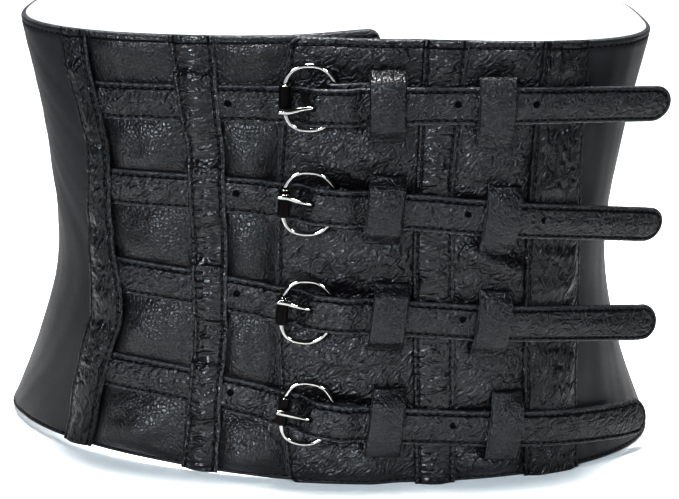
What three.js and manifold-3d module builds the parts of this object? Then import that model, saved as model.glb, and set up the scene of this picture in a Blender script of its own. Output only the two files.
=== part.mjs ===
import * as THREE from "three";
import { mergeVertices } from "three/addons/utils/BufferGeometryUtils.js";
import Module from "manifold-3d";

const wasm = await Module();
wasm.setup();

// Millimetres. The front faces -Y, and the belt stands on its bottom edge at Z = 0.
// A place on the belt is given by its distance along the wall from the middle of the
// front, positive towards +X, by its height, and by its lift off the wall's face.

const BELT_HEIGHT = 178;
const WALL = 2;
const GAP = 0.3;
const SEAT_GAP = 0.5;
const PANEL_ROWS = 14;
const PANEL_COLUMNS = 15;
const BACK_COLUMNS = 36;
const ROW_CROWDING = 0.5;

// Puts the origin under the middle of the whole belt's bounding box.
const CENTRING = { x: -0.07, y: 4.15 };

// The outline of the wall at five heights: squareness 2 is an ellipse.
const WALL_SECTIONS = [
  { height: 0, halfWidth: 140, halfDepth: 91, squareness: 2.05 },
  { height: 35, halfWidth: 126, halfDepth: 90, squareness: 2.35 },
  { height: 78, halfWidth: 116, halfDepth: 90.5, squareness: 2.7 },
  { height: 130, halfWidth: 119, halfDepth: 97, squareness: 3.1 },
  { height: BELT_HEIGHT, halfWidth: 127, halfDepth: 105, squareness: 3.5 },
];

// The front closes with the right panel lying over the left one, whose upper corner
// shows above it. The left panel's hem is worn a little higher than the rest.
const OVERLAP_HEIGHTS = [0, 55, 120, BELT_HEIGHT];
const OVERLAP_EDGE = [-12, -17, -18, -14];
const OVERLAP_LIFT = WALL + GAP;
const OVERLAP_EASE_END = 34;
const UNDER_PANEL_END = 19.5;
const CORNER_RADIUS = 5;
const LEFT_STATIONS = [-190, -140, -77, -17, 20];
const LEFT_HEM = [0, 3, 2.8, 0.3, 0];
const LEFT_TOP = [178, 177, 176.6, 178, 181.8];

// Vertical strips: the middle line and the width at six heights.
const STRIP_THICKNESS = 1.4;
const STRIP_HEIGHTS = [0, 40, 65, 95, 130, BELT_HEIGHT];
const STRIPS = [
  {
    name: "outer_strip_left",
    middle: [-104.5, -94, -88, -90, -88.5, -98],
    width: [15, 16, 16.5, 13, 11, 12.5],
  },
  {
    name: "inner_strip_left",
    middle: [-47.7, -44.3, -43.2, -43.7, -44.8, -50],
    width: [15.2, 13.2, 13.7, 14.3, 14.5, 17],
  },
  {
    name: "inner_strip_right",
    middle: [46.4, 44.5, 43.3, 42, 41.6, 43.6],
    width: [16, 16.5, 16.3, 16, 14.7, 17],
  },
  {
    name: "outer_strip_right",
    middle: [97, 95, 95, 93, 90, 89],
    width: [26, 27, 29, 28, 24, 19],
  },
];
const [OUTER_LEFT, INNER_LEFT, INNER_RIGHT, OUTER_RIGHT] = STRIPS;

// Straps: the height of the middle line at six places along the wall, and the places
// of the tip, the buckle and the keepers. The free end leaves the wall and stands off.
const STRAP_WIDTH = 14.6;
const STRAP_THICKNESS = 1.8;
const STRAP_START = -93;
const TIP_END_HALF_WIDTH = 0.8;
const STRAP_STATIONS = [-95, -55, -20, 20, 75, 135];
const STRAPS = [
  {
    heights: [149.3, 150.9, 152, 153, 153.6, 152.2],
    tip: 135,
    leaves: 86,
    buckle: -5.1,
    ringRise: 3.3,
    prongRise: { bar: -1.2, hole: 0.2 },
    keepers: [{ along: 23, rise: 0 }, { along: 62.5, rise: -2.5 }],
  },
  {
    heights: [114.6, 115.8, 115, 112.8, 107.6, 100.5],
    tip: 142.5,
    leaves: 86,
    buckle: -5.2,
    ringRise: 0.5,
    prongRise: { bar: 3.2, hole: 1 },
    keepers: [{ along: 23, rise: 0 }, { along: 66.5, rise: 0 }],
  },
  {
    heights: [78.5, 77.4, 73.3, 70, 64.8, 58.5],
    tip: 144,
    leaves: 86,
    buckle: -5.1,
    ringRise: -0.8,
    prongRise: { bar: 3.2, hole: 1.5 },
    keepers: [{ along: 25.5, rise: 0 }, { along: 65.5, rise: 0 }],
  },
  {
    heights: [38.3, 37, 31.7, 26.3, 21.5, 15],
    tip: 149,
    leaves: 118,
    buckle: -4.3,
    ringRise: 0.8,
    prongRise: { bar: 0.8, hole: 0 },
    keepers: [{ along: 25.5, rise: 1.5 }, { along: 72.5, rise: 2.2 }],
  },
];

// Buckle: an oval ring with a straight bar at its left, which carries a roller.
const WIRE_RADIUS = 1.3;
const RING_HALF_WIDTH = 9.8;
const RING_HALF_HEIGHT = 12.4;
const BAR_OFFSET = -9.4;
const ROLLER_RADIUS = 2.35;
const ROLLER_LENGTH = 11.5;
const PRONG_RADIUS = 1;
const LOOP_THICKNESS = 1.2;
const EYE_GAP = 0.75;
const BUCKLE_STRAP_WIDTH = 11.5;
const BUCKLE_STRAP_REACH = 25;
const RING_POWER = 2.1;
const RING_BAR_SIDE_POWER = 2.8;
const FOLD_SHARE = 0.3;
const FOLD_DOWN_SHARE = 0.45;

// Keepers: leather loops over the straps, sewn down above and below them.
const KEEPER_THICKNESS = 1.3;
const KEEPER_WIDTH = 13.5;
const KEEPER_HALF_HEIGHT = 12.5;
const KEEPER_CLEARANCE = 1;
const KEEPER_STEP = 2.6;

const UNDER_ROLLER_LIFT = OVERLAP_LIFT + SEAT_GAP;
const BAR_LIFT = UNDER_ROLLER_LIFT + STRAP_THICKNESS + GAP + ROLLER_RADIUS;
const RING_RIGHT_LIFT = UNDER_ROLLER_LIFT + LOOP_THICKNESS + EYE_GAP + WIRE_RADIUS;
const OVER_RING_LIFT = RING_RIGHT_LIFT + WIRE_RADIUS + EYE_GAP + LOOP_THICKNESS + GAP;
const OVER_LOOP_LIFT = SEAT_GAP + 2 * GAP + 2 * LOOP_THICKNESS;
const OVER_STRIP_LIFT = 2 * SEAT_GAP + STRIP_THICKNESS;
const PRONG_ON_ROLLER = BAR_LIFT + ROLLER_RADIUS + GAP + PRONG_RADIUS - RING_RIGHT_LIFT;

// Where a strap changes its lift: before the bar, from the ring's middle and from the
// first keeper's middle.
const RISE_TO_BAR = { start: -12, end: -4.5 };
const RISE_THROUGH_RING = { start: -6, end: 3.5 };
const DOWN_PAST_RING = 13.5;
const KEEPER_LEVEL = 8;
const DOWN_PAST_KEEPER = 20;

// A strip that crosses a strap comes down to the panel over this distance beside it.
const STRIP_BRIDGE = { start: 1.5, end: 7 };

// The prong's line: the offset from the ring's middle, the share of the way from the
// hole's height to the bar's, and the lift above the ring's right side.
const PRONG_ROUTE = [
  { offset: RING_HALF_WIDTH - WIRE_RADIUS - EYE_GAP, share: 0, lift: 0 },
  { offset: 5, share: 0, lift: 0.1 },
  { offset: 0, share: 0, lift: 1.2 },
  { offset: -4.5, share: 0.5, lift: 3.6 },
  { offset: BAR_OFFSET + 1.5, share: 1, lift: PRONG_ON_ROLLER },
  { offset: BAR_OFFSET - 2.5, share: 1, lift: PRONG_ON_ROLLER - 0.2 },
];

const LEATHER = { color: 0x2c2d32, roughness: 0.5, metalness: 0 };
const STRAP_LEATHER = { color: 0x2f3034, roughness: 0.45, metalness: 0 };
const SIDE_CLOTH = { color: 0x38393b, roughness: 0.7, metalness: 0 };
const CHROME = { color: 0xc8c8cc, roughness: 0.15, metalness: 1 };
const DARK_METAL = { color: 0x2a2729, roughness: 0.25, metalness: 1 };

// A smooth curve through the values at the given stations.
function smoothValue(stations, values, at) {
  const last = stations.length - 1;
  let i = 0;
  while (i < last - 1 && at > stations[i + 1]) i += 1;
  const span = stations[i + 1] - stations[i];
  const slope = (k) => {
    const before = Math.max(k - 1, 0);
    const after = Math.min(k + 1, last);
    return (values[after] - values[before]) / (stations[after] - stations[before]);
  };
  const t = Math.min(Math.max((at - stations[i]) / span, 0), 1);
  const t2 = t * t;
  const t3 = t2 * t;
  return (
    (2 * t3 - 3 * t2 + 1) * values[i] +
    (t3 - 2 * t2 + t) * span * slope(i) +
    (3 * t2 - 2 * t3) * values[i + 1] +
    (t3 - t2) * span * slope(i + 1)
  );
}

// Goes smoothly from 0 before start to 1 after end.
function ease(start, end, at) {
  return THREE.MathUtils.smoothstep(at, start, end);
}

const sectionCache = new Map();
const SECTION_STEPS = 240;

// The right half of the wall's outline at one height, with the distance along it.
function sectionAt(height) {
  const key = height.toFixed(2);
  if (sectionCache.has(key)) return sectionCache.get(key);
  const stations = WALL_SECTIONS.map((row) => row.height);
  const value = (column) =>
    smoothValue(stations, WALL_SECTIONS.map((row) => row[column]), height);
  const halfWidth = value("halfWidth");
  const halfDepth = value("halfDepth");
  const power = value("squareness");
  const points = [];
  let along = 0;
  for (let i = 0; i <= SECTION_STEPS; i += 1) {
    const angle = (Math.PI * i) / SECTION_STEPS;
    const sine = Math.sin(angle);
    const cosine = Math.cos(angle);
    const radius =
      (Math.abs(sine / halfWidth) ** power + Math.abs(cosine / halfDepth) ** power) ** (-1 / power);
    const point = { x: radius * sine, y: -radius * cosine, along };
    if (i > 0) {
      const previous = points[i - 1];
      along += Math.hypot(point.x - previous.x, point.y - previous.y);
      point.along = along;
    }
    points.push(point);
  }
  sectionCache.set(key, points);
  return points;
}

// The point of the wall's face at a distance along it and a height.
function facePoint(along, height) {
  const points = sectionAt(height);
  const side = along < 0 ? -1 : 1;
  const target = Math.min(Math.abs(along), points[SECTION_STEPS].along);
  let low = 0;
  let high = SECTION_STEPS;
  while (high - low > 1) {
    const middle = (low + high) >> 1;
    if (points[middle].along <= target) low = middle;
    else high = middle;
  }
  const a = points[low];
  const b = points[high];
  const t = (target - a.along) / (b.along - a.along);
  return new THREE.Vector3(side * (a.x + t * (b.x - a.x)), a.y + t * (b.y - a.y), height);
}

// The way along the wall and the way out of it, at a place on its face.
function faceFrame(along, height) {
  const reach = 1.5;
  const tangent = facePoint(along + reach, height).sub(facePoint(along - reach, height));
  const low = Math.max(height - reach, 0);
  const rise = facePoint(along, height + reach).sub(facePoint(along, low));
  const outward = tangent.clone().cross(rise).normalize();
  return { tangent: tangent.normalize(), outward };
}

// The point at a place on the wall, lifted off its face. The lift is level, so that
// the top and bottom edges of the wall stay flat.
function wallPoint(along, height, lift) {
  const { outward } = faceFrame(along, height);
  outward.z = 0;
  return facePoint(along, height).addScaledVector(outward.normalize(), lift);
}

// Half the way round the wall at a height.
function halfRound(height) {
  return sectionAt(height)[SECTION_STEPS].along;
}

// How far the wall's face is pushed out by the under panel in the overlap.
function panelLift(along) {
  return OVERLAP_LIFT * (1 - ease(UNDER_PANEL_END, OVERLAP_EASE_END, along));
}

// Moves each vertex of a flat block, given as shares of its length, thickness and
// width from 0 to 1, to its place on the belt.
function bend(geometry, place) {
  const position = geometry.getAttribute("position");
  for (let i = 0; i < position.count; i += 1) {
    const point = place(position.getX(i) + 0.5, 0.5 - position.getY(i), position.getZ(i) + 0.5);
    position.setXYZ(i, point.x, point.y, point.z);
  }
  geometry.deleteAttribute("normal");
  geometry.deleteAttribute("uv");
  const merged = mergeVertices(geometry, 1e-4);
  merged.computeVertexNormals();
  return merged;
}

// A unit block with its length along X, its outer face at -Y and its width along Z.
function block(lengthSteps, widthSteps) {
  return new THREE.BoxGeometry(1, 1, 1, lengthSteps, 1, widthSteps);
}

function mesh(name, geometry, look) {
  const made = new THREE.Mesh(geometry, new THREE.MeshStandardMaterial(look));
  made.name = name;
  return made;
}

function solidOf(geometry) {
  const clean = geometry.clone();
  clean.deleteAttribute("normal");
  clean.deleteAttribute("uv");
  const merged = mergeVertices(clean, 1e-4);
  return new wasm.Manifold(
    new wasm.Mesh({
      numProp: 3,
      vertProperties: merged.getAttribute("position").array,
      triVerts: new Uint32Array(merged.index.array),
    }),
  );
}

function geometryOf(solid) {
  const made = solid.getMesh();
  const geometry = new THREE.BufferGeometry();
  geometry.setAttribute("position", new THREE.BufferAttribute(made.vertProperties, 3));
  geometry.setIndex(new THREE.BufferAttribute(made.triVerts, 1));
  geometry.computeVertexNormals();
  return geometry;
}

function stripMiddle(strip, height) {
  return smoothValue(STRIP_HEIGHTS, strip.middle, height);
}

function stripWidth(strip, height) {
  return smoothValue(STRIP_HEIGHTS, strip.width, height);
}

// The lines of a wall's mesh lie closer together near its ends.
function rowShare(w) {
  return w - (ROW_CROWDING * Math.sin(2 * Math.PI * w)) / (2 * Math.PI);
}

function overlapEdge(height) {
  return smoothValue(OVERLAP_HEIGHTS, OVERLAP_EDGE, height);
}

// The height of a row of the left panel, and of what is sewn to it, at a place.
function leftHeight(along, share) {
  const at = Math.max(along, LEFT_STATIONS[0]);
  const hem = smoothValue(LEFT_STATIONS, LEFT_HEM, at);
  const top = smoothValue(LEFT_STATIONS, LEFT_TOP, at);
  return hem + (top - hem) * share;
}

// How much a panel's free edge is drawn in at a height, to round its corners.
function cornerCut(height, low, high) {
  const toEdge = Math.max(Math.min(height - low, high - height, CORNER_RADIUS), 0);
  return CORNER_RADIUS - Math.sqrt(CORNER_RADIUS ** 2 - (CORNER_RADIUS - toEdge) ** 2);
}

function leftPanel() {
  const geometry = bend(block(PANEL_COLUMNS, PANEL_ROWS), (u, t, w) => {
    const share = rowShare(w);
    const nominal = BELT_HEIGHT * share;
    const seam = stripMiddle(OUTER_LEFT, nominal) + GAP / 2;
    const end = UNDER_PANEL_END - cornerCut(nominal, 0, BELT_HEIGHT);
    const along = seam + (end - seam) * u;
    return wallPoint(along, leftHeight(along, share), -WALL * (1 - t));
  });
  return mesh("front_left_panel", geometry, LEATHER);
}

function rightPanel() {
  const geometry = bend(block(PANEL_COLUMNS, PANEL_ROWS), (u, t, w) => {
    const height = BELT_HEIGHT * rowShare(w);
    const start = overlapEdge(height) + cornerCut(height, 0, BELT_HEIGHT);
    const seam = stripMiddle(OUTER_RIGHT, height) - GAP / 2;
    const along = start + (seam - start) * u;
    return wallPoint(along, height, panelLift(along) - WALL * (1 - t));
  });
  return mesh("front_right_panel", geometry, LEATHER);
}

// The side and back wall, from the right seam round the back to the left one.
function backPanel() {
  const geometry = bend(block(BACK_COLUMNS, PANEL_ROWS), (u, t, w) => {
    const share = rowShare(w);
    const nominal = BELT_HEIGHT * share;
    const half = halfRound(nominal);
    const start = stripMiddle(OUTER_RIGHT, nominal) + GAP / 2;
    const end = 2 * half + stripMiddle(OUTER_LEFT, nominal) - GAP / 2;
    const round = start + (end - start) * rowShare(u);
    const along = round > half ? round - 2 * half : round;
    const height = along < 0 ? leftHeight(along, share) : nominal;
    return wallPoint(along, height, -WALL * (1 - t));
  });
  return mesh("back_panel", geometry, SIDE_CLOTH);
}

function strapHeight(strap, along) {
  return smoothValue(STRAP_STATIONS, strap.heights, along);
}

// The place at a distance along a strap and an offset across it, square to its run.
function acrossStrap(strap, along, offset) {
  const reach = 3;
  const rise = strapHeight(strap, along + reach) - strapHeight(strap, along - reach);
  const slope = rise / (2 * reach);
  const length = Math.hypot(1, slope);
  return {
    along: along - (offset * slope) / length,
    height: strapHeight(strap, along) + offset / length,
  };
}

// The lift of the outer panel's face at a place: only the right panel is pushed out.
function panelLiftOutside(along) {
  return along > OVERLAP_EDGE[2] ? panelLift(along) : 0;
}

// How much a strip that lies over the straps is raised at a height: 1 on a strap.
function strapUnder(along, height) {
  return STRAPS.reduce((raised, strap) => {
    const away = Math.abs(height - strapHeight(strap, along)) - STRAP_WIDTH / 2;
    return Math.max(raised, 1 - ease(STRIP_BRIDGE.start, STRIP_BRIDGE.end, away));
  }, 0);
}

function verticalStrip(strip) {
  const atLeft = strip === OUTER_LEFT || strip === INNER_LEFT;
  const geometry = bend(block(atLeft ? 2 : 4, atLeft ? 30 : 10), (u, t, w) => {
    const share = atLeft ? w : rowShare(w);
    const nominal = BELT_HEIGHT * share;
    const along = stripMiddle(strip, nominal) + stripWidth(strip, nominal) * (u - 0.5);
    const height = atLeft ? leftHeight(along, share) : nominal;
    const raised = atLeft ? (STRAP_THICKNESS + SEAT_GAP) * strapUnder(along, height) : 0;
    const lift = panelLiftOutside(along) + SEAT_GAP + raised;
    return wallPoint(along, height, lift + STRIP_THICKNESS * t);
  });
  return mesh(strip.name, geometry, LEATHER);
}

// The lift of a strap's inner face, from under the left strips to its tip.
function strapLift(strap, along) {
  const bar = strap.buckle + BAR_OFFSET;
  const toBar = ease(RISE_TO_BAR.start, RISE_TO_BAR.end, along - bar);
  const start = Math.max(toBar * UNDER_ROLLER_LIFT, SEAT_GAP);
  const fromRing = along - strap.buckle;
  const overRing = ease(RISE_THROUGH_RING.start, RISE_THROUGH_RING.end, fromRing);
  const keeper = strap.keepers[0].along;
  const pastRing = ease(strap.buckle + DOWN_PAST_RING, keeper - KEEPER_LEVEL, along);
  const pastLoop = ease(keeper + KEEPER_LEVEL, keeper + DOWN_PAST_KEEPER, along);
  const onLoop = panelLiftOutside(along) + OVER_LOOP_LIFT;
  const onStrips = panelLiftOutside(along) + OVER_STRIP_LIFT;
  let lift = start + (OVER_RING_LIFT - start) * overRing;
  lift += (onLoop - lift) * pastRing;
  return lift + (onStrips - lift) * pastLoop;
}

// The point of a strap at a distance along it: on the wall up to where it leaves it,
// and straight on from there.
function strapPoint(strap, along, offset, lift) {
  const place = acrossStrap(strap, along, offset);
  const leaves = strap.leaves + place.along - along;
  if (along <= strap.leaves) return wallPoint(place.along, place.height, lift);
  const { tangent } = faceFrame(leaves, place.height);
  tangent.z = 0;
  return wallPoint(leaves, place.height, lift)
    .addScaledVector(tangent.normalize(), along - strap.leaves);
}

// Half the strap's width near its round tip.
function tipHalfWidth(strap, along) {
  const radius = STRAP_WIDTH / 2;
  const past = Math.max(along - (strap.tip - radius), 0);
  return Math.sqrt(Math.max(radius ** 2 - past ** 2, TIP_END_HALF_WIDTH ** 2));
}

function strapGeometry(strap) {
  return bend(block(56, 1), (u, t, w) => {
    const along = STRAP_START + (strap.tip - STRAP_START) * u;
    const offset = 2 * tipHalfWidth(strap, along) * (w - 0.5);
    return strapPoint(strap, along, offset, strapLift(strap, along) + STRAP_THICKNESS * t);
  });
}

// A place of the buckle, at an offset along the strap from the ring's middle.
function bucklePoint(strap, offset, rise, lift) {
  const place = acrossStrap(strap, strap.buckle + offset, rise);
  return wallPoint(place.along, place.height, lift);
}

// The prong's middle line, from the ring's right side up through the strap to the bar.
function prongPoints(strap) {
  const { bar, hole } = strap.prongRise;
  return PRONG_ROUTE.map(({ offset, share, lift }) => {
    const rise = hole + (bar - hole) * share;
    return bucklePoint(strap, offset, rise, RING_RIGHT_LIFT + lift);
  });
}

function rod(points, radius, steps) {
  const section = new THREE.Shape();
  section.absarc(0, 0, radius, 0, 2 * Math.PI, false);
  const geometry = new THREE.ExtrudeGeometry(section, {
    curveSegments: 4,
    steps,
    extrudePath: new THREE.CatmullRomCurve3(points),
  });
  geometry.deleteAttribute("normal");
  geometry.deleteAttribute("uv");
  return mergeVertices(geometry, 1e-4);
}

function strapMesh(strap, number) {
  const hole = rod(prongPoints(strap), PRONG_RADIUS + 0.5, 9);
  const solid = solidOf(strapGeometry(strap)).subtract(solidOf(hole));
  return mesh("strap_" + number, geometryOf(solid), STRAP_LEATHER);
}

function prongMesh(strap, number) {
  return mesh("prong_" + number, rod(prongPoints(strap), PRONG_RADIUS, 9), CHROME);
}

// The distance of the ring's middle line from its middle, in a direction.
function ringRadius(angle) {
  const left = Math.cos(angle) < 0;
  const power = left ? RING_BAR_SIDE_POWER : RING_POWER;
  const across = Math.abs(Math.cos(angle) / RING_HALF_WIDTH) ** power;
  const upward = Math.abs(Math.sin(angle) / RING_HALF_HEIGHT) ** power;
  const oval = (across + upward) ** (-1 / power);
  return left ? Math.min(oval, BAR_OFFSET / Math.cos(angle)) : oval;
}

// How far to the right of its middle the ring's right side stands, at an offset up it.
function ringRightSide(offset) {
  const upward = Math.abs(offset / RING_HALF_HEIGHT) ** RING_POWER;
  return RING_HALF_WIDTH * (1 - upward) ** (1 / RING_POWER);
}

// The frame a buckle stands in: its middle, the way along the strap, up and out.
function buckleFrame(strap) {
  const left = bucklePoint(strap, BAR_OFFSET, strap.ringRise, BAR_LIFT);
  const right = bucklePoint(strap, RING_HALF_WIDTH, strap.ringRise, RING_RIGHT_LIFT);
  const across = right.clone().sub(left).normalize();
  const { outward } = faceFrame(strap.buckle, strapHeight(strap, strap.buckle));
  const upward = outward.clone().cross(across).normalize();
  const out = across.clone().cross(upward).normalize();
  const middle = left.clone().addScaledVector(across, -BAR_OFFSET);
  return new THREE.Matrix4().makeBasis(across, upward, out).setPosition(middle);
}

function ringMesh(strap, number) {
  const geometry = new THREE.TorusGeometry(RING_HALF_WIDTH, WIRE_RADIUS, 6, 26);
  const position = geometry.getAttribute("position");
  for (let i = 0; i < position.count; i += 1) {
    const x = position.getX(i);
    const y = position.getY(i);
    const angle = Math.atan2(y, x);
    const step = 0.01;
    const radius = ringRadius(angle);
    const slope = (ringRadius(angle + step) - ringRadius(angle - step)) / (2 * step);
    const side = new THREE.Vector2(radius, -slope).normalize();
    side.rotateAround(new THREE.Vector2(), angle);
    const out = Math.hypot(x, y) - RING_HALF_WIDTH;
    position.setXY(
      i,
      radius * Math.cos(angle) + out * side.x,
      radius * Math.sin(angle) + out * side.y,
    );
  }
  const made = mesh("ring_" + number, geometry, CHROME);
  made.applyMatrix4(buckleFrame(strap));
  return made;
}

function rollerMesh(strap, number) {
  const inner = WIRE_RADIUS + GAP;
  const half = ROLLER_LENGTH / 2;
  const profile = [
    new THREE.Vector2(inner, -half),
    new THREE.Vector2(ROLLER_RADIUS, -half),
    new THREE.Vector2(ROLLER_RADIUS, half),
    new THREE.Vector2(inner, half),
    new THREE.Vector2(inner, -half),
  ];
  const made = mesh("roller_" + number, new THREE.LatheGeometry(profile, 10), DARK_METAL);
  made.position.x = BAR_OFFSET;
  const placed = new THREE.Group();
  placed.applyMatrix4(buckleFrame(strap));
  placed.add(made);
  return placed;
}

// The strap that holds the ring: flat on the panel, folded round the ring's right
// side and back over itself, under the main strap.
function buckleStrap(strap, number) {
  const inside = WIRE_RADIUS + EYE_GAP;
  const flat = (1 - FOLD_SHARE) / 2;
  const geometry = bend(block(26, 2), (u, t, w) => {
    const offset = strap.ringRise + BUCKLE_STRAP_WIDTH * (w - 0.5);
    const eye = strap.buckle + ringRightSide(offset - strap.ringRise);
    const end = strap.buckle + RING_HALF_WIDTH + BUCKLE_STRAP_REACH;
    const thickness = LOOP_THICKNESS * t;
    let along;
    let lift;
    if (u < flat) {
      along = end - (end - eye) * (u / flat);
      lift = panelLiftOutside(along) + SEAT_GAP + LOOP_THICKNESS - thickness;
    } else if (u > 1 - flat) {
      const share = (u - 1 + flat) / flat;
      along = eye + (end - eye) * share;
      const low = panelLiftOutside(along) + SEAT_GAP + GAP + LOOP_THICKNESS;
      const high = RING_RIGHT_LIFT + inside;
      lift = high + (low - high) * ease(0, FOLD_DOWN_SHARE, share) + thickness;
    } else {
      const angle = -Math.PI / 2 - (Math.PI * (u - flat)) / FOLD_SHARE;
      along = eye + (inside + thickness) * Math.cos(angle);
      lift = RING_RIGHT_LIFT + (inside + thickness) * Math.sin(angle);
    }
    return strapPoint(strap, along, offset, lift);
  });
  const slot = rod(prongPoints(strap), PRONG_RADIUS + 0.6, 9);
  const solid = solidOf(geometry).subtract(solidOf(slot));
  return mesh("buckle_strap_" + number, geometryOf(solid), STRAP_LEATHER);
}

function keeperMesh(strap, number, index) {
  const keeper = strap.keepers[index];
  const geometry = bend(block(2, 14), (u, t, w) => {
    const along = keeper.along + KEEPER_WIDTH * (u - 0.5);
    const offset = keeper.rise + 2 * KEEPER_HALF_HEIGHT * (w - 0.5);
    const beside = panelLiftOutside(along) + SEAT_GAP;
    const over = strapLift(strap, along) + STRAP_THICKNESS + SEAT_GAP;
    const clear = STRAP_WIDTH / 2 + KEEPER_CLEARANCE;
    const raised = 1 - ease(clear, clear + KEEPER_STEP, Math.abs(offset));
    const lift = beside + (over - beside) * raised;
    return strapPoint(strap, along, offset, lift + KEEPER_THICKNESS * t);
  });
  return mesh("keeper_" + number + "ab"[index], geometry, STRAP_LEATHER);
}

function buckleRow(strap, index) {
  const number = index + 1;
  const row = new THREE.Group();
  row.add(
    strapMesh(strap, number),
    buckleStrap(strap, number),
    ringMesh(strap, number),
    rollerMesh(strap, number),
    prongMesh(strap, number),
    keeperMesh(strap, number, 0),
    keeperMesh(strap, number, 1),
  );
  return row;
}

const belt = new THREE.Group();
belt.name = "waist_cincher_belt";
belt.position.set(CENTRING.x, CENTRING.y, 0);
belt.add(backPanel(), leftPanel(), rightPanel());
STRIPS.forEach((strip) => belt.add(verticalStrip(strip)));
STRAPS.forEach((strap, index) => belt.add(buckleRow(strap, index)));

export default belt;
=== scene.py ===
"""A black faux-leather waist cincher with four straps through oval ring buckles."""

import math

import bpy
import numpy as np
from mathutils import Matrix, Vector


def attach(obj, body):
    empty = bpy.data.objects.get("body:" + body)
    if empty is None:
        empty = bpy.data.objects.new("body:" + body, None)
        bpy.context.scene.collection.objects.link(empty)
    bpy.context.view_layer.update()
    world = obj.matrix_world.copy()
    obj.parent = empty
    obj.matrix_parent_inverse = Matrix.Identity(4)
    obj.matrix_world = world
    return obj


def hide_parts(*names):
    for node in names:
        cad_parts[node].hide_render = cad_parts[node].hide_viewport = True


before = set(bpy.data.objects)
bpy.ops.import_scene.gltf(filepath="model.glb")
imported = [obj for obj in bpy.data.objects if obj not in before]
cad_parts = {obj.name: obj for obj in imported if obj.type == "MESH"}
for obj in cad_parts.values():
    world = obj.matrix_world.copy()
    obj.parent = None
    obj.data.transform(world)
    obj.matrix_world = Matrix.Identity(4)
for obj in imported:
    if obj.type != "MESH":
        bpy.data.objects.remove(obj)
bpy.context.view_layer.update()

# Sizes are in millimetres until a mesh is made. A place on the belt is given by its
# distance along the wall from the middle of the front, positive towards +X, by its
# height, and by its lift off the wall's face.
MM = 0.001
CENTRING = np.array([-0.07, 4.15, 0.0])
BELT_HEIGHT = 178.0
WALL = 2.0
GAP = 0.3
SEAT_GAP = 0.5

# The outline of the wall at five heights: squareness 2 is an ellipse.
SECTION_HEIGHTS = [0, 35, 78, 130, BELT_HEIGHT]
SECTION_HALF_WIDTH = [140, 126, 116, 119, 127]
SECTION_HALF_DEPTH = [91, 90, 90.5, 97, 105]
SECTION_SQUARENESS = [2.05, 2.35, 2.7, 3.1, 3.5]

# The overlap at the front, and the left panel's hem and top.
OVERLAP_HEIGHTS = [0, 55, 120, BELT_HEIGHT]
OVERLAP_EDGE = [-12, -17, -18, -14]
OVERLAP_LIFT = WALL + GAP
OVERLAP_EASE_END = 34.0
UNDER_PANEL_END = 19.5
CORNER_RADIUS = 5.0
LEFT_STATIONS = [-190, -140, -77, -17, 20]
LEFT_HEM = [0, 3, 2.8, 0.3, 0]
LEFT_TOP = [178, 177, 176.6, 178, 181.8]

# Vertical strips: the middle line and the width at six heights.
STRIP_THICKNESS = 1.4
STRIP_HEIGHTS = [0, 40, 65, 95, 130, BELT_HEIGHT]
STRIPS = {
    "outer_strip_left": {
        "middle": [-104.5, -94, -88, -90, -88.5, -98],
        "width": [15, 16, 16.5, 13, 11, 12.5],
    },
    "inner_strip_left": {
        "middle": [-47.7, -44.3, -43.2, -43.7, -44.8, -50],
        "width": [15.2, 13.2, 13.7, 14.3, 14.5, 17],
    },
    "inner_strip_right": {
        "middle": [46.4, 44.5, 43.3, 42, 41.6, 43.6],
        "width": [16, 16.5, 16.3, 16, 14.7, 17],
    },
    "outer_strip_right": {
        "middle": [97, 95, 95, 93, 90, 89],
        "width": [26, 27, 29, 28, 24, 19],
    },
}

# Straps: the height of the middle line at six places along the wall, and the places
# of the tip, the buckle, the keepers and the punched holes.
STRAP_WIDTH = 14.6
STRAP_THICKNESS = 1.8
STRAP_START = -93.0
STRAP_STATIONS = [-95, -55, -20, 20, 75, 135]
STRAPS = [
    {
        "heights": [149.3, 150.9, 152, 153, 153.6, 152.2],
        "tip": 135.0,
        "leaves": 86.0,
        "buckle": -5.1,
        "ring_rise": 3.3,
        "prong_bar": -1.2,
        "prong_hole": 0.2,
        "keepers": [(23.0, 0.0), (62.5, -2.5)],
        "holes": [(-36.0, 0.3), (48.5, 0.8), (77.1, 0.8)],
    },
    {
        "heights": [114.6, 115.8, 115, 112.8, 107.6, 100.5],
        "tip": 142.5,
        "leaves": 86.0,
        "buckle": -5.2,
        "ring_rise": 0.5,
        "prong_bar": 3.2,
        "prong_hole": 1.0,
        "keepers": [(23.0, 0.0), (66.5, 0.0)],
        "holes": [(-33.0, 1.2), (53.8, 1.4), (83.8, 1.0)],
    },
    {
        "heights": [78.5, 77.4, 73.3, 70, 64.8, 58.5],
        "tip": 144.0,
        "leaves": 86.0,
        "buckle": -5.1,
        "ring_rise": -0.8,
        "prong_bar": 3.2,
        "prong_hole": 1.5,
        "keepers": [(25.5, 0.0), (65.5, 0.0)],
        "holes": [(-32.9, 1.2), (53.6, 1.6)],
    },
    {
        "heights": [38.3, 37, 31.7, 26.3, 21.5, 15],
        "tip": 149.0,
        "leaves": 118.0,
        "buckle": -4.3,
        "ring_rise": 0.8,
        "prong_bar": 0.8,
        "prong_hole": 0.0,
        "keepers": [(25.5, 1.5), (72.5, 2.2)],
        "holes": [(-35.0, 1.5), (51.5, 1.6)],
    },
]

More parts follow.
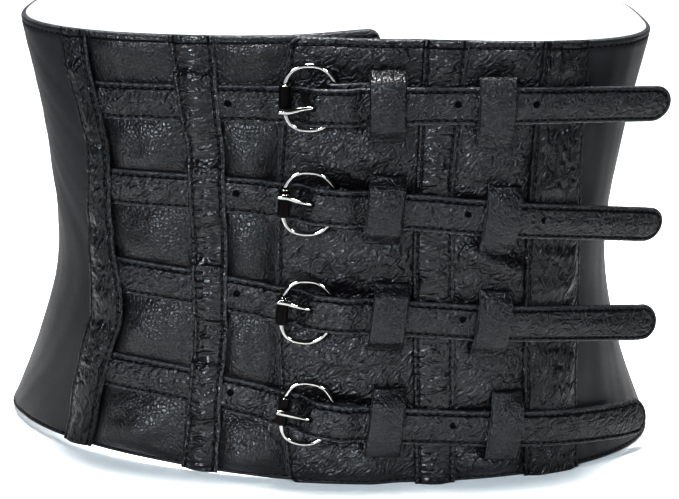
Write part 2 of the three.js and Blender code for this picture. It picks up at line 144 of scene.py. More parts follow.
# The buckle: an oval ring with a straight bar at its left, which carries a roller.
WIRE_RADIUS = 1.3
RING_HALF_WIDTH = 9.8
RING_HALF_HEIGHT = 12.4
RING_POWER = 2.1
RING_BAR_SIDE_POWER = 2.8
BAR_OFFSET = -9.4
ROLLER_RADIUS = 2.35
ROLLER_LENGTH = 11.5
PRONG_RADIUS = 1.0
LOOP_THICKNESS = 1.2
EYE_GAP = 0.75
BUCKLE_STRAP_WIDTH = 11.5
BUCKLE_STRAP_REACH = 25.0
FOLD_SHARE = 0.3
FOLD_DOWN_SHARE = 0.45

KEEPER_THICKNESS = 1.3
KEEPER_WIDTH = 13.5
KEEPER_HALF_HEIGHT = 12.5
KEEPER_CLEARANCE = 1.0
KEEPER_TAIL = 1.4

UNDER_ROLLER_LIFT = OVERLAP_LIFT + SEAT_GAP
BAR_LIFT = UNDER_ROLLER_LIFT + STRAP_THICKNESS + GAP + ROLLER_RADIUS
RING_RIGHT_LIFT = UNDER_ROLLER_LIFT + LOOP_THICKNESS + EYE_GAP + WIRE_RADIUS
OVER_RING_LIFT = RING_RIGHT_LIFT + WIRE_RADIUS + EYE_GAP + LOOP_THICKNESS + GAP
OVER_LOOP_LIFT = SEAT_GAP + 2 * GAP + 2 * LOOP_THICKNESS
OVER_STRIP_LIFT = 2 * SEAT_GAP + STRIP_THICKNESS
PRONG_ON_ROLLER = BAR_LIFT + ROLLER_RADIUS + GAP + PRONG_RADIUS - RING_RIGHT_LIFT

RISE_TO_BAR = (-12.0, -4.5)
RISE_THROUGH_RING = (-6.0, 3.5)
DOWN_PAST_RING = 13.5
KEEPER_LEVEL = 8.0
DOWN_PAST_KEEPER = 20.0
STRIP_BRIDGE = (1.5, 7.0)
OUTER_BRIDGE = (2.0, 20.0)

# The camera stands a little above the belt and looks at its front.
CAMERA_PLACE = np.array([27.26, -749.50, 261.90])
CAMERA_AIM = np.array([0.0, 0.0, 89.0])
CAMERA_ROLL = 0.0255
CAMERA_LENS = 94.37
CAMERA_SENSOR = 36.0
CAMERA_SHIFT = (0.00947, -0.05716)


def make_camera():
    data = bpy.data.cameras.new("camera")
    data.lens = CAMERA_LENS
    data.sensor_width = CAMERA_SENSOR
    data.shift_x, data.shift_y = CAMERA_SHIFT
    camera = bpy.data.objects.new("camera", data)
    bpy.context.scene.collection.objects.link(camera)
    ahead = Vector(CAMERA_AIM - CAMERA_PLACE).normalized()
    right = ahead.cross(Vector((0, 0, 1))).normalized()
    upward = right.cross(ahead)
    across = right * math.cos(CAMERA_ROLL) + upward * math.sin(CAMERA_ROLL)
    up = upward * math.cos(CAMERA_ROLL) - right * math.sin(CAMERA_ROLL)
    turn = Matrix((across, up, -ahead)).transposed().to_4x4()
    place = Vector((CAMERA_PLACE + CENTRING) * MM)
    camera.matrix_world = Matrix.Translation(place) @ turn
    bpy.context.scene.camera = camera


make_camera()


# Curves and noise

def smooth_value(stations, values, at):
    """A smooth curve through the values at the given stations."""
    stations = np.asarray(stations, float)
    values = np.asarray(values, float)
    slopes = np.empty_like(values)
    slopes[1:-1] = (values[2:] - values[:-2]) / (stations[2:] - stations[:-2])
    slopes[0] = (values[1] - values[0]) / (stations[1] - stations[0])
    slopes[-1] = (values[-1] - values[-2]) / (stations[-1] - stations[-2])
    at = np.asarray(at, float)
    i = np.clip(np.searchsorted(stations, at, side="right") - 1, 0, len(stations) - 2)
    span = stations[i + 1] - stations[i]
    t = np.clip((at - stations[i]) / span, 0, 1)
    t2 = t * t
    t3 = t2 * t
    return (
        (2 * t3 - 3 * t2 + 1) * values[i]
        + (t3 - 2 * t2 + t) * span * slopes[i]
        + (3 * t2 - 2 * t3) * values[i + 1]
        + (t3 - t2) * span * slopes[i + 1]
    )


def ease(start, end, at):
    """Goes smoothly from 0 before start to 1 after end."""
    t = np.clip((np.asarray(at, float) - start) / (end - start), 0, 1)
    return t * t * (3 - 2 * t)


def bump_shape(distance, width):
    """A round hump: 1 at distance 0 and 0 from the width on."""
    return 1 - ease(0, width, np.abs(distance))


def together(*values):
    """The values as arrays of one shape."""
    return np.broadcast_arrays(*[np.asarray(value, float) for value in values])


def noise(x, y, seed):
    """Smooth seeded noise between about -1 and 1, with features about 1 apart."""
    angles = np.random.default_rng(seed).uniform(0, 2 * np.pi, (256, 256))
    x0 = np.floor(x).astype(int)
    y0 = np.floor(y).astype(int)
    fx = x - x0
    fy = y - y0

    def corner(dx, dy):
        angle = angles[(x0 + dx) % 256, (y0 + dy) % 256]
        return np.cos(angle) * (fx - dx) + np.sin(angle) * (fy - dy)

    wx = fx * fx * fx * (fx * (fx * 6 - 15) + 10)
    wy = fy * fy * fy * (fy * (fy * 6 - 15) + 10)
    low = corner(0, 0) + (corner(1, 0) - corner(0, 0)) * wx
    high = corner(0, 1) + (corner(1, 1) - corner(0, 1)) * wx
    return 1.5 * (low + (high - low) * wy)


WINDING_SIZE = 14.0
WINDING_REACH = 5.0
VALLEY_SHARPNESS = 0.7


def wrinkles(along, height, length, width, angle, seed):
    """Round swells between sharp valleys that wind along a direction, about 0 to 1."""
    bent = [
        value + WINDING_REACH * noise(along / WINDING_SIZE, height / WINDING_SIZE, seed + k)
        for k, value in enumerate((along, height), start=1)
    ]
    cosine = math.cos(math.radians(angle))
    sine = math.sin(math.radians(angle))
    x = (bent[0] * cosine + bent[1] * sine) / length
    y = (bent[1] * cosine - bent[0] * sine) / width
    return np.abs(noise(x, y, seed)) ** VALLEY_SHARPNESS


# The belt's wall

TABLE_HEIGHTS = np.arange(0.0, 185.0)
TABLE_STEPS = 720


def section_at(height):
    tables = (SECTION_HALF_WIDTH, SECTION_HALF_DEPTH, SECTION_SQUARENESS)
    return [smooth_value(SECTION_HEIGHTS, table, height) for table in tables]


def outline_point(angle, half_width, half_depth, power):
    sine = np.sin(angle)
    cosine = np.cos(angle)
    across = np.abs(sine / half_width) ** power
    deep = np.abs(cosine / half_depth) ** power
    radius = (across + deep) ** (-1 / power)
    return radius * sine, -radius * cosine


def angle_table():
    """The angle at each share of the way round, and half the way round, by height."""
    angles = np.linspace(0, np.pi, TABLE_STEPS + 1)
    shares = np.linspace(0, 1, TABLE_STEPS + 1)
    rows = []
    halves = []
    for height in TABLE_HEIGHTS:
        x, y = outline_point(angles, *section_at(height))
        along = np.concatenate([[0], np.cumsum(np.hypot(np.diff(x), np.diff(y)))])
        rows.append(np.interp(shares * along[-1], along, angles))
        halves.append(along[-1])
    return np.array(rows), np.array(halves)


ANGLES, HALVES = angle_table()


def half_round(height):
    return np.interp(height, TABLE_HEIGHTS, HALVES)


def wall_frame(along, height):
    """The face's point and its level outward direction, as x, y, out_x and out_y."""
    share = np.clip(np.abs(along) / half_round(height), 0, 1) * TABLE_STEPS
    column = np.clip(np.floor(share).astype(int), 0, TABLE_STEPS - 1)
    row_at = np.clip(height, 0, TABLE_HEIGHTS[-1] - 1e-6)
    row = np.floor(row_at).astype(int)
    fc = share - column
    fr = row_at - row
    low = ANGLES[row, column] * (1 - fc) + ANGLES[row, column + 1] * fc
    high = ANGLES[row + 1, column] * (1 - fc) + ANGLES[row + 1, column + 1] * fc
    angle = low * (1 - fr) + high * fr
    half_width, half_depth, power = section_at(height)
    x, y = outline_point(angle, half_width, half_depth, power)
    out_x = (np.abs(x) / half_width) ** (power - 1) / half_width
    out_y = np.sign(y) * (np.abs(y) / half_depth) ** (power - 1) / half_depth
    length = np.hypot(out_x, out_y)
    side = np.where(along < 0, -1.0, 1.0)
    return side * x, y, side * out_x / length, out_y / length


def wall_point(along, height, lift, past=0.0):
    """A point lifted off the wall, and moved straight on along it by the way past."""
    along, height, lift, past = together(along, height, lift, past)
    x, y, out_x, out_y = wall_frame(along, height)
    x = x + out_x * lift - out_y * past
    y = y + out_y * lift + out_x * past
    return np.stack([x, y, height], axis=-1)


def overlap_edge(height):
    return smooth_value(OVERLAP_HEIGHTS, OVERLAP_EDGE, height)


def panel_lift(along):
    return OVERLAP_LIFT * (1 - ease(UNDER_PANEL_END, OVERLAP_EASE_END, along))


def left_hem(along):
    return smooth_value(LEFT_STATIONS, LEFT_HEM, np.maximum(along, LEFT_STATIONS[0]))


def left_top(along):
    return smooth_value(LEFT_STATIONS, LEFT_TOP, np.maximum(along, LEFT_STATIONS[0]))


def strip_middle(name, height):
    return smooth_value(STRIP_HEIGHTS, STRIPS[name]["middle"], height)


def strip_width(name, height):
    return smooth_value(STRIP_HEIGHTS, STRIPS[name]["width"], height)


def strip_side(name, height, side):
    return strip_middle(name, height) + side * strip_width(name, height) / 2


def outer_panel_lift(along):
    """The lift of the outer panel's face: only the right panel is pushed out."""
    return np.where(along > OVERLAP_EDGE[2], panel_lift(along), 0.0)


# Straps

def strap_height(strap, along):
    return smooth_value(STRAP_STATIONS, strap["heights"], along)


def across_strap(strap, along, offset):
    reach = 3.0
    rise = strap_height(strap, along + reach) - strap_height(strap, along - reach)
    slope = rise / (2 * reach)
    length = np.hypot(1, slope)
    return along - offset * slope / length, strap_height(strap, along) + offset / length


def strap_under(along, height, bridge=STRIP_BRIDGE):
    """1 where a strap lies at the place, going to 0 beside it."""
    raised = np.zeros(np.broadcast(along, height).shape)
    for strap in STRAPS:
        away = np.abs(height - strap_height(strap, along)) - STRAP_WIDTH / 2
        raised = np.maximum(raised, 1 - ease(*bridge, away))
    return raised


def strap_lift(strap, along):
    """The lift of a strap's inner face, from under the left strips to its tip."""
    along = np.asarray(along, float)
    bar = strap["buckle"] + BAR_OFFSET
    start = np.maximum(ease(*RISE_TO_BAR, along - bar) * UNDER_ROLLER_LIFT, SEAT_GAP)
    over_ring = ease(*RISE_THROUGH_RING, along - strap["buckle"])
    keeper = strap["keepers"][0][0]
    past_ring = ease(strap["buckle"] + DOWN_PAST_RING, keeper - KEEPER_LEVEL, along)
    past_loop = ease(keeper + KEEPER_LEVEL, keeper + DOWN_PAST_KEEPER, along)
    lift = start + (OVER_RING_LIFT - start) * over_ring
    lift = lift + (outer_panel_lift(along) + OVER_LOOP_LIFT - lift) * past_ring
    return lift + (outer_panel_lift(along) + OVER_STRIP_LIFT - lift) * past_loop


def strap_point(strap, along, offset, lift):
    """On the wall up to where the strap leaves it, and straight on from there."""
    place, height = across_strap(strap, along, offset)
    past = np.maximum(along - strap["leaves"], 0)
    return wall_point(place - past, height, lift, past)


def buckle_point(strap, offset, rise, lift):
    along, height = across_strap(strap, strap["buckle"] + offset, rise)
    return wall_point(along, height, lift)


def ring_right_side(offset):
    upward = np.clip(np.abs(offset / RING_HALF_HEIGHT), 0, 1) ** RING_POWER
    return RING_HALF_WIDTH * (1 - upward) ** (1 / RING_POWER)


# The prong's route from its tip on the strap to the bar: the place across the buckle,
# the share of the way from the hole's height to the bar's, and the lift.
PRONG_ROUTE = {
    "offset": [RING_HALF_WIDTH - 0.6, 5.5, 2.2, 0.4, -4.5, BAR_OFFSET + 1.5, BAR_OFFSET - 2.5],
    "share": [0.0, 0.0, 0.0, 0.0, 0.5, 1.0, 1.0],
    "lift": [0.6, 1.2, 2.5, 4.0, 4.6, PRONG_ON_ROLLER, PRONG_ON_ROLLER - 0.2],
}


def prong_points(strap):
    points = []
    for offset, share, lift in zip(*PRONG_ROUTE.values()):
        rise = strap["prong_hole"] + (strap["prong_bar"] - strap["prong_hole"]) * share
        points.append(buckle_point(strap, offset, rise, RING_RIGHT_LIFT + lift))
    return np.array(points)


# Meshes

def unit(vectors):
    """The vectors at length 1."""
    return vectors / np.linalg.norm(vectors, axis=-1, keepdims=True)


def circle(sides):
    """The cosines and the sines of evenly spaced turns."""
    turn = np.linspace(0, 2 * np.pi, sides, endpoint=False)
    return np.cos(turn), np.sin(turn)


def finish_piece(piece, nodes=()):
    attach(piece, "root")
    if nodes:
        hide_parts(*nodes)


def new_piece(name, points, faces, materials, face_slots=None):
    """A mesh from points in millimetres and faces of three or four corners."""
    data = bpy.data.meshes.new(name)
    co = (np.asarray(points, float).reshape(-1, 3) + CENTRING) * MM
    data.vertices.add(len(co))
    data.vertices.foreach_set("co", co.ravel())
    faces = np.asarray(faces)
    corners = faces.shape[1]
    data.loops.add(faces.size)
    data.loops.foreach_set("vertex_index", faces.ravel())
    data.polygons.add(len(faces))
    data.polygons.foreach_set("loop_start", np.arange(len(faces)) * corners)
    data.polygons.foreach_set("use_smooth", np.ones(len(faces), bool))
    for material in materials:
        data.materials.append(material)
    if face_slots is not None:
        data.polygons.foreach_set("material_index", np.asarray(face_slots, np.int32))
    data.update(calc_edges=True)
    data.validate()
    piece = bpy.data.objects.new(name, data)
    bpy.context.scene.collection.objects.link(piece)
    return piece


def grid_faces(rows, columns, flipped=False):
    index = np.arange(rows * columns).reshape(rows, columns)
    a, b = index[:-1, :-1], index[:-1, 1:]
    c, d = index[1:, 1:], index[1:, :-1]
    faces = np.stack([a, b, c, d], axis=-1).reshape(-1, 4)
    return faces[:, ::-1] if flipped else faces


def wall_faces(outer_line, inner_line):
    a, b = outer_line[:-1], outer_line[1:]
    c, d = inner_line[1:], inner_line[:-1]
    return np.stack([b, a, d, c], axis=-1)


INSIDE_SLOT = 1
# Slot 2 holds a lighter leather for faces close to an edge and for a shell's side faces: a
# painted highlight where the edges catch the light.
EDGE_HIGHLIGHT_SLOT = 2
# Slot 3 holds a near-black matte leather for the sewn grooves and the punched pits: painted
# shade.
PAINTED_SHADE_SLOT = 3
EDGE_HIGHLIGHT_WIDTH = 0.5
GROOVE_SHADE_HALF_WIDTH = 0.38


def face_slots(edge, from_seam=None, shaded_pits=None):
    """The slots of a grid's faces, by their distance from the edge and from a seam."""
    middle = (edge[:-1, :-1] + edge[1:, 1:]) / 2
    slots = np.where(middle < EDGE_HIGHLIGHT_WIDTH, EDGE_HIGHLIGHT_SLOT, 0)
    if from_seam is not None:
        away = (from_seam[:-1, :-1] + from_seam[1:, 1:]) / 2
        slots = np.where((away < GROOVE_SHADE_HALF_WIDTH) & (slots == 0), PAINTED_SHADE_SLOT, slots)
    if shaded_pits is not None:
        slots = np.where(shaded_pits[:-1, :-1] & shaded_pits[1:, 1:], PAINTED_SHADE_SLOT, slots)
    return slots.ravel()


def shell(outer, inner, outside_slots):
    """The closed body between two grids of points, with the slots of its faces."""
    rows, columns = outer.shape[:2]
    count = rows * columns
    index = np.arange(count).reshape(rows, columns)
    outside = grid_faces(rows, columns)
    inside = grid_faces(rows, columns, flipped=True) + count
    border = [index[0, :], index[:, -1], index[-1, ::-1], index[::-1, 0]]
    sides = np.concatenate([wall_faces(line, line + count) for line in border])
    faces = np.concatenate([outside, sides, inside])
    # The side faces all take the painted edge highlight.
    side_slots = np.full(len(sides), EDGE_HIGHLIGHT_SLOT)
    inside_slots = np.full(len(inside), INSIDE_SLOT)
    slots = np.concatenate([outside_slots, side_slots, inside_slots])
    points = np.concatenate([outer.reshape(-1, 3), inner.reshape(-1, 3)])
    return points, faces, slots


def add_shell(name, outer, inner, outside_slots, materials):
    """Makes the closed piece that stands for the solid of the same name."""
    points, faces, slots = shell(outer, inner, outside_slots)
    finish_piece(new_piece(name, points, faces, materials, slots), [name])


EDGE_STEPS = [0.0, 0.05, 0.15, 0.32, 0.55, 0.8, 1.1, 1.35, 1.55, 1.75, 1.95, 2.15, 2.4, 2.75]
EDGE_ZONE = 3.2
CLOSEST_LINES = 0.04


def lines_across(length, step, extra=()):
    """Places from 0 to the length: close together at both ends, and the extra ones."""
    near = np.array(EDGE_STEPS)
    count = max(int(round((length - 2 * EDGE_ZONE) / step)), 1) + 1
    middle = np.linspace(EDGE_ZONE, length - EDGE_ZONE, count)
    places = np.concatenate([near, middle, length - near, np.asarray(extra, float)])
    places = np.unique(np.round(np.clip(places, 0, length), 3))
    keep = np.concatenate([[True], np.diff(places) > CLOSEST_LINES])
    keep[-1] = True
    return places[keep]


def round_edge(distance, thickness, radius):
    """The height of a rounded edge at a distance from it."""
    t = np.clip(distance / radius, 0, 1)
    return thickness * np.sqrt(np.maximum(1 - (1 - t) ** 2, 0))


ROD_SIDES = 16


def rod(path, radii):
    """The points and faces of a closed round rod along a path."""
    tangent = unit(np.gradient(path, axis=0))
    side = unit(np.cross(tangent, np.array([0.0, 0.0, 1.0])))
    up = np.cross(side, tangent)
    cosine, sine = circle(ROD_SIDES)
    wide = radii[:, None, None]
    ring = path[:, None, :] + wide * cosine[None, :, None] * up[:, None, :]
    ring = ring + wide * sine[None, :, None] * side[:, None, :]
    points = np.concatenate([ring.reshape(-1, 3), path[:1], path[-1:]])
    index = np.arange(len(path) * ROD_SIDES).reshape(len(path), ROD_SIDES)
    after = np.roll(index, -1, axis=1)
    quads = np.stack([index[:-1], index[1:], after[1:], after[:-1]], axis=-1).reshape(-1, 4)
    first = np.full(ROD_SIDES, index.size)
    start = np.stack([first, index[0], after[0]], axis=-1)
    end = np.stack([first + 1, after[-1], index[-1]], axis=-1)
    return points, np.concatenate([quads[:, [0, 1, 2]], quads[:, [0, 2, 3]], start, end])


def wrapped_faces(rows, sides):
    """The faces of a grid that closes on itself both ways, as a ring's does."""
    index = np.arange(rows * sides).reshape(rows, sides)
    on = np.roll(index, -1, axis=0)
    corners = [index, on, np.roll(on, -1, axis=1), np.roll(index, -1, axis=1)]
    return np.stack(corners, axis=-1).reshape(-1, 4)


def spline(points, count):
    """A smooth path of evenly spaced points through the given ones."""
    points = np.asarray(points, float)
    chord = np.concatenate([[0], np.cumsum(np.linalg.norm(np.diff(points, axis=0), axis=1))])
    at = np.linspace(0, chord[-1], count)
    return np.stack([smooth_value(chord, points[:, k], at) for k in range(3)], axis=-1)


# A stitch: six rings along it, with their place as a share of its half length and
# their size as a share of its radius.
STITCH_RINGS = [-1.0, -0.82, -0.4, 0.4, 0.82, 1.0]
STITCH_SWELL = [0.25, 0.8, 1.0, 1.0, 0.8, 0.25]
STITCH_SIDES = 6
STITCH_LENGTH = 2.3
STITCH_PITCH = 3.1
STITCH_RADIUS = 0.24
STITCH_DIP = 0.9
DIRECTION_REACH = 0.4


def evenly_sewn(points, outward):
    """The stitches' middles, directions and outward directions along one line."""
    step = np.linalg.norm(np.diff(points, axis=0), axis=1)
    chord = np.concatenate([[0], np.cumsum(step)])
    count = int(chord[-1] // STITCH_PITCH)
    at = (np.arange(count) + 0.5) * chord[-1] / count

    def on_line(values, places):
        return np.stack([np.interp(places, chord, values[:, k]) for k in range(3)], axis=-1)

    ahead = on_line(points, at + DIRECTION_REACH) - on_line(points, at - DIRECTION_REACH)
    return on_line(points, at), ahead, on_line(outward, at)


def stitch_piece(name, lines):
    """Threads along lines of points, each line with its outward directions."""
    sewn = [evenly_sewn(points, outward) for points, outward in lines]
    centres, ahead, outward = [np.concatenate(parts) for parts in zip(*sewn)]
    ahead = unit(ahead)
    outward = unit(outward - ahead * np.sum(ahead * outward, axis=1, keepdims=True))
    sideways = np.cross(ahead, outward)
    cosine, sine = circle(STITCH_SIDES)
    rings = np.array(STITCH_RINGS)
    swell = np.array(STITCH_SWELL)[:, None]
    dip = np.repeat(STITCH_DIP * STITCH_RADIUS * np.abs(rings) ** 3, STITCH_SIDES)
    local = np.stack([
        np.repeat(rings * STITCH_LENGTH / 2, STITCH_SIDES),
        (swell * cosine * STITCH_RADIUS).ravel(),
        (swell * sine * STITCH_RADIUS).ravel() - dip,
    ], axis=-1)
    points = centres[:, None, :] + local @ np.stack([ahead, sideways, outward], axis=1)
    index = np.arange(len(local)).reshape(len(rings), STITCH_SIDES)
    after = np.roll(index, -1, axis=1)
    quads = np.stack([index[:-1], after[:-1], after[1:], index[1:]], axis=-1).reshape(-1, 4)
    caps = [index[0, [0, 5, 4, 3]], index[0, [0, 3, 2, 1]]]
    caps += [index[-1, [0, 1, 2, 3]], index[-1, [0, 3, 4, 5]]]
    one = np.concatenate([quads, np.array(caps)])
    shifts = len(local) * np.arange(len(centres))[:, None, None]
    piece = new_piece(name, points, (one[None] + shifts).reshape(-1, 4), [THREAD])
    finish_piece(piece)


# Materials

def shader(name, color, roughness, metallic=0.0, specular=0.5):
    material = bpy.data.materials.new(name)
    material.use_nodes = True
    nodes = material.node_tree.nodes
    principled = nodes["Principled BSDF"]
    principled.inputs["Base Color"].default_value = (*color, 1.0)
    principled.inputs["Roughness"].default_value = roughness
    principled.inputs["Metallic"].default_value = metallic
    principled.inputs["Specular IOR Level"].default_value = specular
    return material, principled


def add_node(material, kind, links=None, **settings):
    node = material.node_tree.nodes.new(kind)
    for key, value in settings.items():
        setattr(node, key, value)
    for socket, source in (links or {}).items():
        if isinstance(source, bpy.types.NodeSocket):
            material.node_tree.links.new(source, node.inputs[socket])
        else:
            node.inputs[socket].default_value = source
    return node


def map_range(material, value, low, high, to_low, to_high):
    links = {"Value": value, "From Min": low, "From Max": high}
    links.update({"To Min": to_low, "To Max": to_high})
    return add_node(material, "ShaderNodeMapRange", links).outputs["Result"]


def math_node(material, operation, *values):
    """A Math node's result, from numbers and other nodes' outputs."""
    node = add_node(material, "ShaderNodeMath", dict(enumerate(values)), operation=operation)
    return node.outputs["Value"]


def noise_node(material, place, scale, detail, distortion=0.0):
    links = {"Vector": place, "Scale": scale, "Detail": detail, "Distortion": distortion}
    return add_node(material, "ShaderNodeTexNoise", links).outputs


# The leather's texture. Scales are in features a metre. The warp bends the grain, the
# domes are its pebbles, and tone runs from 0 in the valleys to 1 on the swells. The colour
# darkens with tone: painted shade in the valleys and creases, with a random broad tone.
BROAD_SCALE = 60.0
WARP_SCALE = 260.0
GRAIN_WARP = (0.0005, 0.0005, 0.0005)
DOME_POWER = 0.6
DOME_TOP = 0.5
FINE_GRAIN = 2.4
FINE_SHARE = 0.2
CREASE_WIDTH = 0.19
CREASE_BEND = 0.6
SHADE_AND_TONE_RANGE = (0.1, 0.5)
GLOSS_TONES = (0.05, 0.35)
ROUGHER = 0.05
SMOOTHER = 0.03
METAL_WEAR_SCALE = 900.0


def valley_lines(material, place, creases):
    """1 on the leather's swells and 0 in the creases between them."""
    stretch = creases["stretch"]
    settings = {
        "Vector": place,
        "Rotation": (0.0, -math.radians(creases["turn"]), 0.0),
        "Scale": (stretch, stretch, 1.0),
    }
    mapping = add_node(material, "ShaderNodeMapping", settings, vector_type="TEXTURE")
    place = mapping.outputs["Vector"]
    swells = noise_node(material, place, 1 / (MM * creases["size"]), 1.5, CREASE_BEND)["Fac"]
    away = math_node(material, "ABSOLUTE", math_node(material, "SUBTRACT", swells, 0.5))
    return map_range(material, away, 0.0, CREASE_WIDTH, 0.0, 1.0)


def pebbles(material, place, size):
    """The grain's round domes, 0 between them and 1 on top, and its finer noise."""
    warp = noise_node(material, place, WARP_SCALE, 2.0)["Color"]
    links = {0: warp, 1: GRAIN_WARP, 2: place}
    bent = add_node(material, "ShaderNodeVectorMath", links, operation="MULTIPLY_ADD")
    place = bent.outputs["Vector"]
    scale = 1 / (MM * size)
    links = {"Vector": place, "Scale": scale, "Randomness": 0.9}
    cells = add_node(material, "ShaderNodeTexVoronoi", links, feature="DISTANCE_TO_EDGE")
    away = math_node(material, "POWER", cells.outputs["Distance"], DOME_POWER)
    dome = map_range(material, away, 0.0, DOME_TOP, 0.0, 1.0)
    return dome, noise_node(material, place, FINE_GRAIN * scale, 3.0)["Fac"]


def leather(name, dark, light, roughness, pebble, depth, creases=None, specular=0.5):
    """Grained leather. Pebble is the grain's size and depth its relief, and creases
    give a size, a turn, a stretch and a depth. Sizes are in millimetres."""
    material, principled = shader(name, dark, roughness, specular=specular)
    place = add_node(material, "ShaderNodeTexCoord").outputs["Object"]
    dome, fine = pebbles(material, place, pebble)
    relief = math_node(material, "MULTIPLY_ADD", fine, FINE_SHARE, dome)
    relief = map_range(material, relief, 0.0, 1.0, 0.0, depth)
    tone = dome
    if creases:
        swells = valley_lines(material, place, creases)
        relief = math_node(material, "MULTIPLY_ADD", swells, creases["depth"], relief)
        tone = math_node(material, "MULTIPLY", swells, dome)
    broad = noise_node(material, place, BROAD_SCALE, 3.0)["Fac"]
    tone = math_node(material, "MULTIPLY", tone, broad)
    bump = {"Height": relief, "Distance": MM, "Strength": 1.0}
    # Painted shade: the base colour goes dark in the valleys and creases; the broad noise adds a
    # random tone.
    share = map_range(material, tone, *SHADE_AND_TONE_RANGE, 0.0, 1.0)
    colors = {0: share, 6: (*dark, 1.0), 7: (*light, 1.0)}
    mix = add_node(material, "ShaderNodeMix", colors, data_type="RGBA")
    gloss = map_range(material, tone, *GLOSS_TONES, roughness + ROUGHER, roughness - SMOOTHER)
    normal = add_node(material, "ShaderNodeBump", bump).outputs["Normal"]
    links = material.node_tree.links
    links.new(mix.outputs[2], principled.inputs["Base Color"])
    links.new(gloss, principled.inputs["Roughness"])
    links.new(normal, principled.inputs["Normal"])
    return material


def metal(name, color, roughness, wear):
    material, principled = shader(name, color, roughness, metallic=1.0)
    place = add_node(material, "ShaderNodeTexCoord").outputs["Object"]
    worn = noise_node(material, place, METAL_WEAR_SCALE, 4.0)["Fac"]
    gloss = map_range(material, worn, 0.3, 0.7, roughness, roughness + wear)
    material.node_tree.links.new(gloss, principled.inputs["Roughness"])
    return material


# Each leather runs from its first colour, painted shade in the valleys and random darker patches,
# to its second on the swells.
BLACK = (0.003, 0.002, 0.0026)
BLACK_SWELL = (0.005, 0.005, 0.006)
PANEL_LEATHER = leather(
    "panel_leather", BLACK, BLACK_SWELL, 0.36, 1.6, 0.17,
    {"size": 3.4, "turn": -55, "stretch": 1.8, "depth": 0.17},
)
STRIP_LEATHER = leather(
    "strip_leather", BLACK, BLACK_SWELL, 0.28, 1.8, 0.08,
    {"size": 3.6, "turn": 6, "stretch": 2.2, "depth": 0.55},
)
DARK_STRIP_LEATHER = leather(
    "dark_strip_leather", (0.0025, 0.002, 0.0025), (0.004, 0.004, 0.005), 0.28, 1.8, 0.10,
    {"size": 3.3, "turn": 78, "stretch": 2.2, "depth": 0.55}, specular=0.35,
)
RIGHT_LEATHER = leather(
    "crackled_leather", BLACK, BLACK_SWELL, 0.33, 1.7, 0.12,
    {"size": 2.9, "turn": 42, "stretch": 1.7, "depth": 0.46},
)
STRAP_LEATHER = leather(
    "strap_leather", (0.003, 0.0024, 0.003), (0.006, 0.006, 0.0075), 0.32, 1.6, 0.11,
    {"size": 2.5, "turn": 40, "stretch": 1.6, "depth": 0.4},
)
KEEPER_LEATHER = leather(
    "keeper_leather", (0.0035, 0.003, 0.004), (0.007, 0.007, 0.009), 0.34, 1.6, 0.19,
    {"size": 2.8, "turn": -50, "stretch": 1.5, "depth": 0.2},
)
SIDE_CLOTH = leather(
    "side_cloth", (0.013, 0.012, 0.013), (0.020, 0.019, 0.0205), 0.47, 0.9, 0.05, specular=0.25
)
LINING = leather("lining", (0.80, 0.80, 0.80), (0.88, 0.88, 0.87), 0.85, 0.6, 0.02)
BACKING = leather("backing", (0.008, 0.008, 0.008), (0.014, 0.014, 0.014), 0.8, 0.6, 0.02)
# A lighter leather for edges, and a dimmer copy for the outer strips: a painted highlight along
# the edges.
PAINTED_EDGE_HIGHLIGHT = leather("painted_edge_highlight", (0.022, 0.022, 0.024), (0.08, 0.08, 0.085), 0.5, 2.4, 0.18)
DARK_PAINTED_EDGE_HIGHLIGHT = leather(
    "dark_painted_edge_highlight", (0.006, 0.006, 0.007), (0.035, 0.035, 0.038), 0.55, 2.4, 0.25, specular=0.3
)
# Near-black matte leather for sewn grooves and punched pits: painted shade.
PAINTED_RECESS_SHADE = leather("painted_recess_shade", (0.002, 0.002, 0.002), (0.004, 0.004, 0.004), 0.7, 0.8, 0.02, specular=0.1)
THREAD = leather("thread", (0.006, 0.006, 0.007), (0.02, 0.02, 0.022), 0.4, 0.4, 0.03)
CHROME = metal("chrome", (0.42, 0.405, 0.385), 0.07, 0.03)
DARK_METAL = metal("dark_metal", (0.012, 0.010, 0.010), 0.3, 0.1)


# Panels

RIM_STITCH = 2.7
HEM_STITCH = 1.9
EDGE_STITCH = 2.1
GRID_STEP = 1.2
BACK_COLUMNS = 220
BACK_STEP = 2.4
MIDDLE_HEIGHT = 90.0
WALL_EDGE_RADIUS = 1.1
BESIDE_OVERLAP = 0.8

# The puffs between the straps and the strips, and how uneven they are. The crest of a
# row, from the hem up, lies above its middle where the skew is over 1.
PUFF_LEFT = 4.1
PUFF_RIGHT = 2.6
PUFF_POWER = 2.1
ROW_SKEWS = [0.8, 0.75, 0.75, 0.75, 2.4]
COLUMN_SKEW = 0.85
TOP_ROW = (150.0, 158.0)
TOP_ROW_FLATNESS = 0.35
BOTTOM_ROW = (22.0, 34.0)
BOTTOM_ROW_SWELL = 0.5
TO_RIGHT_PANEL = (-14.0, -8.0)
PUFF_UNEVENNESS = 0.4
LUMP_HEIGHT = 0.5
CREASE_LENGTH = 8.0
CREASE_SPACING = 3.4
LEFT_CREASES = {"height": 0.3, "turn": -55, "seed": 6}
RIGHT_CREASES = {"height": 0.5, "turn": 28, "seed": 7}


def groove(distance, at, depth=0.45, half_width=0.55):
    return -depth * bump_shape(distance - at, half_width)


def cell_columns(height):
    """The sides of the cells between the strips and the overlap's edge."""
    inner_left, inner_right = "inner_strip_left", "inner_strip_right"
    edge = overlap_edge(height)
    return [
        (strip_side("outer_strip_left", height, 1), strip_side(inner_left, height, -1)),
        (strip_side(inner_left, height, 1), edge - BESIDE_OVERLAP),
        (edge + EDGE_STITCH, strip_side(inner_right, height, -1)),
        (strip_side(inner_right, height, 1), strip_side("outer_strip_right", height, -1)),
    ]


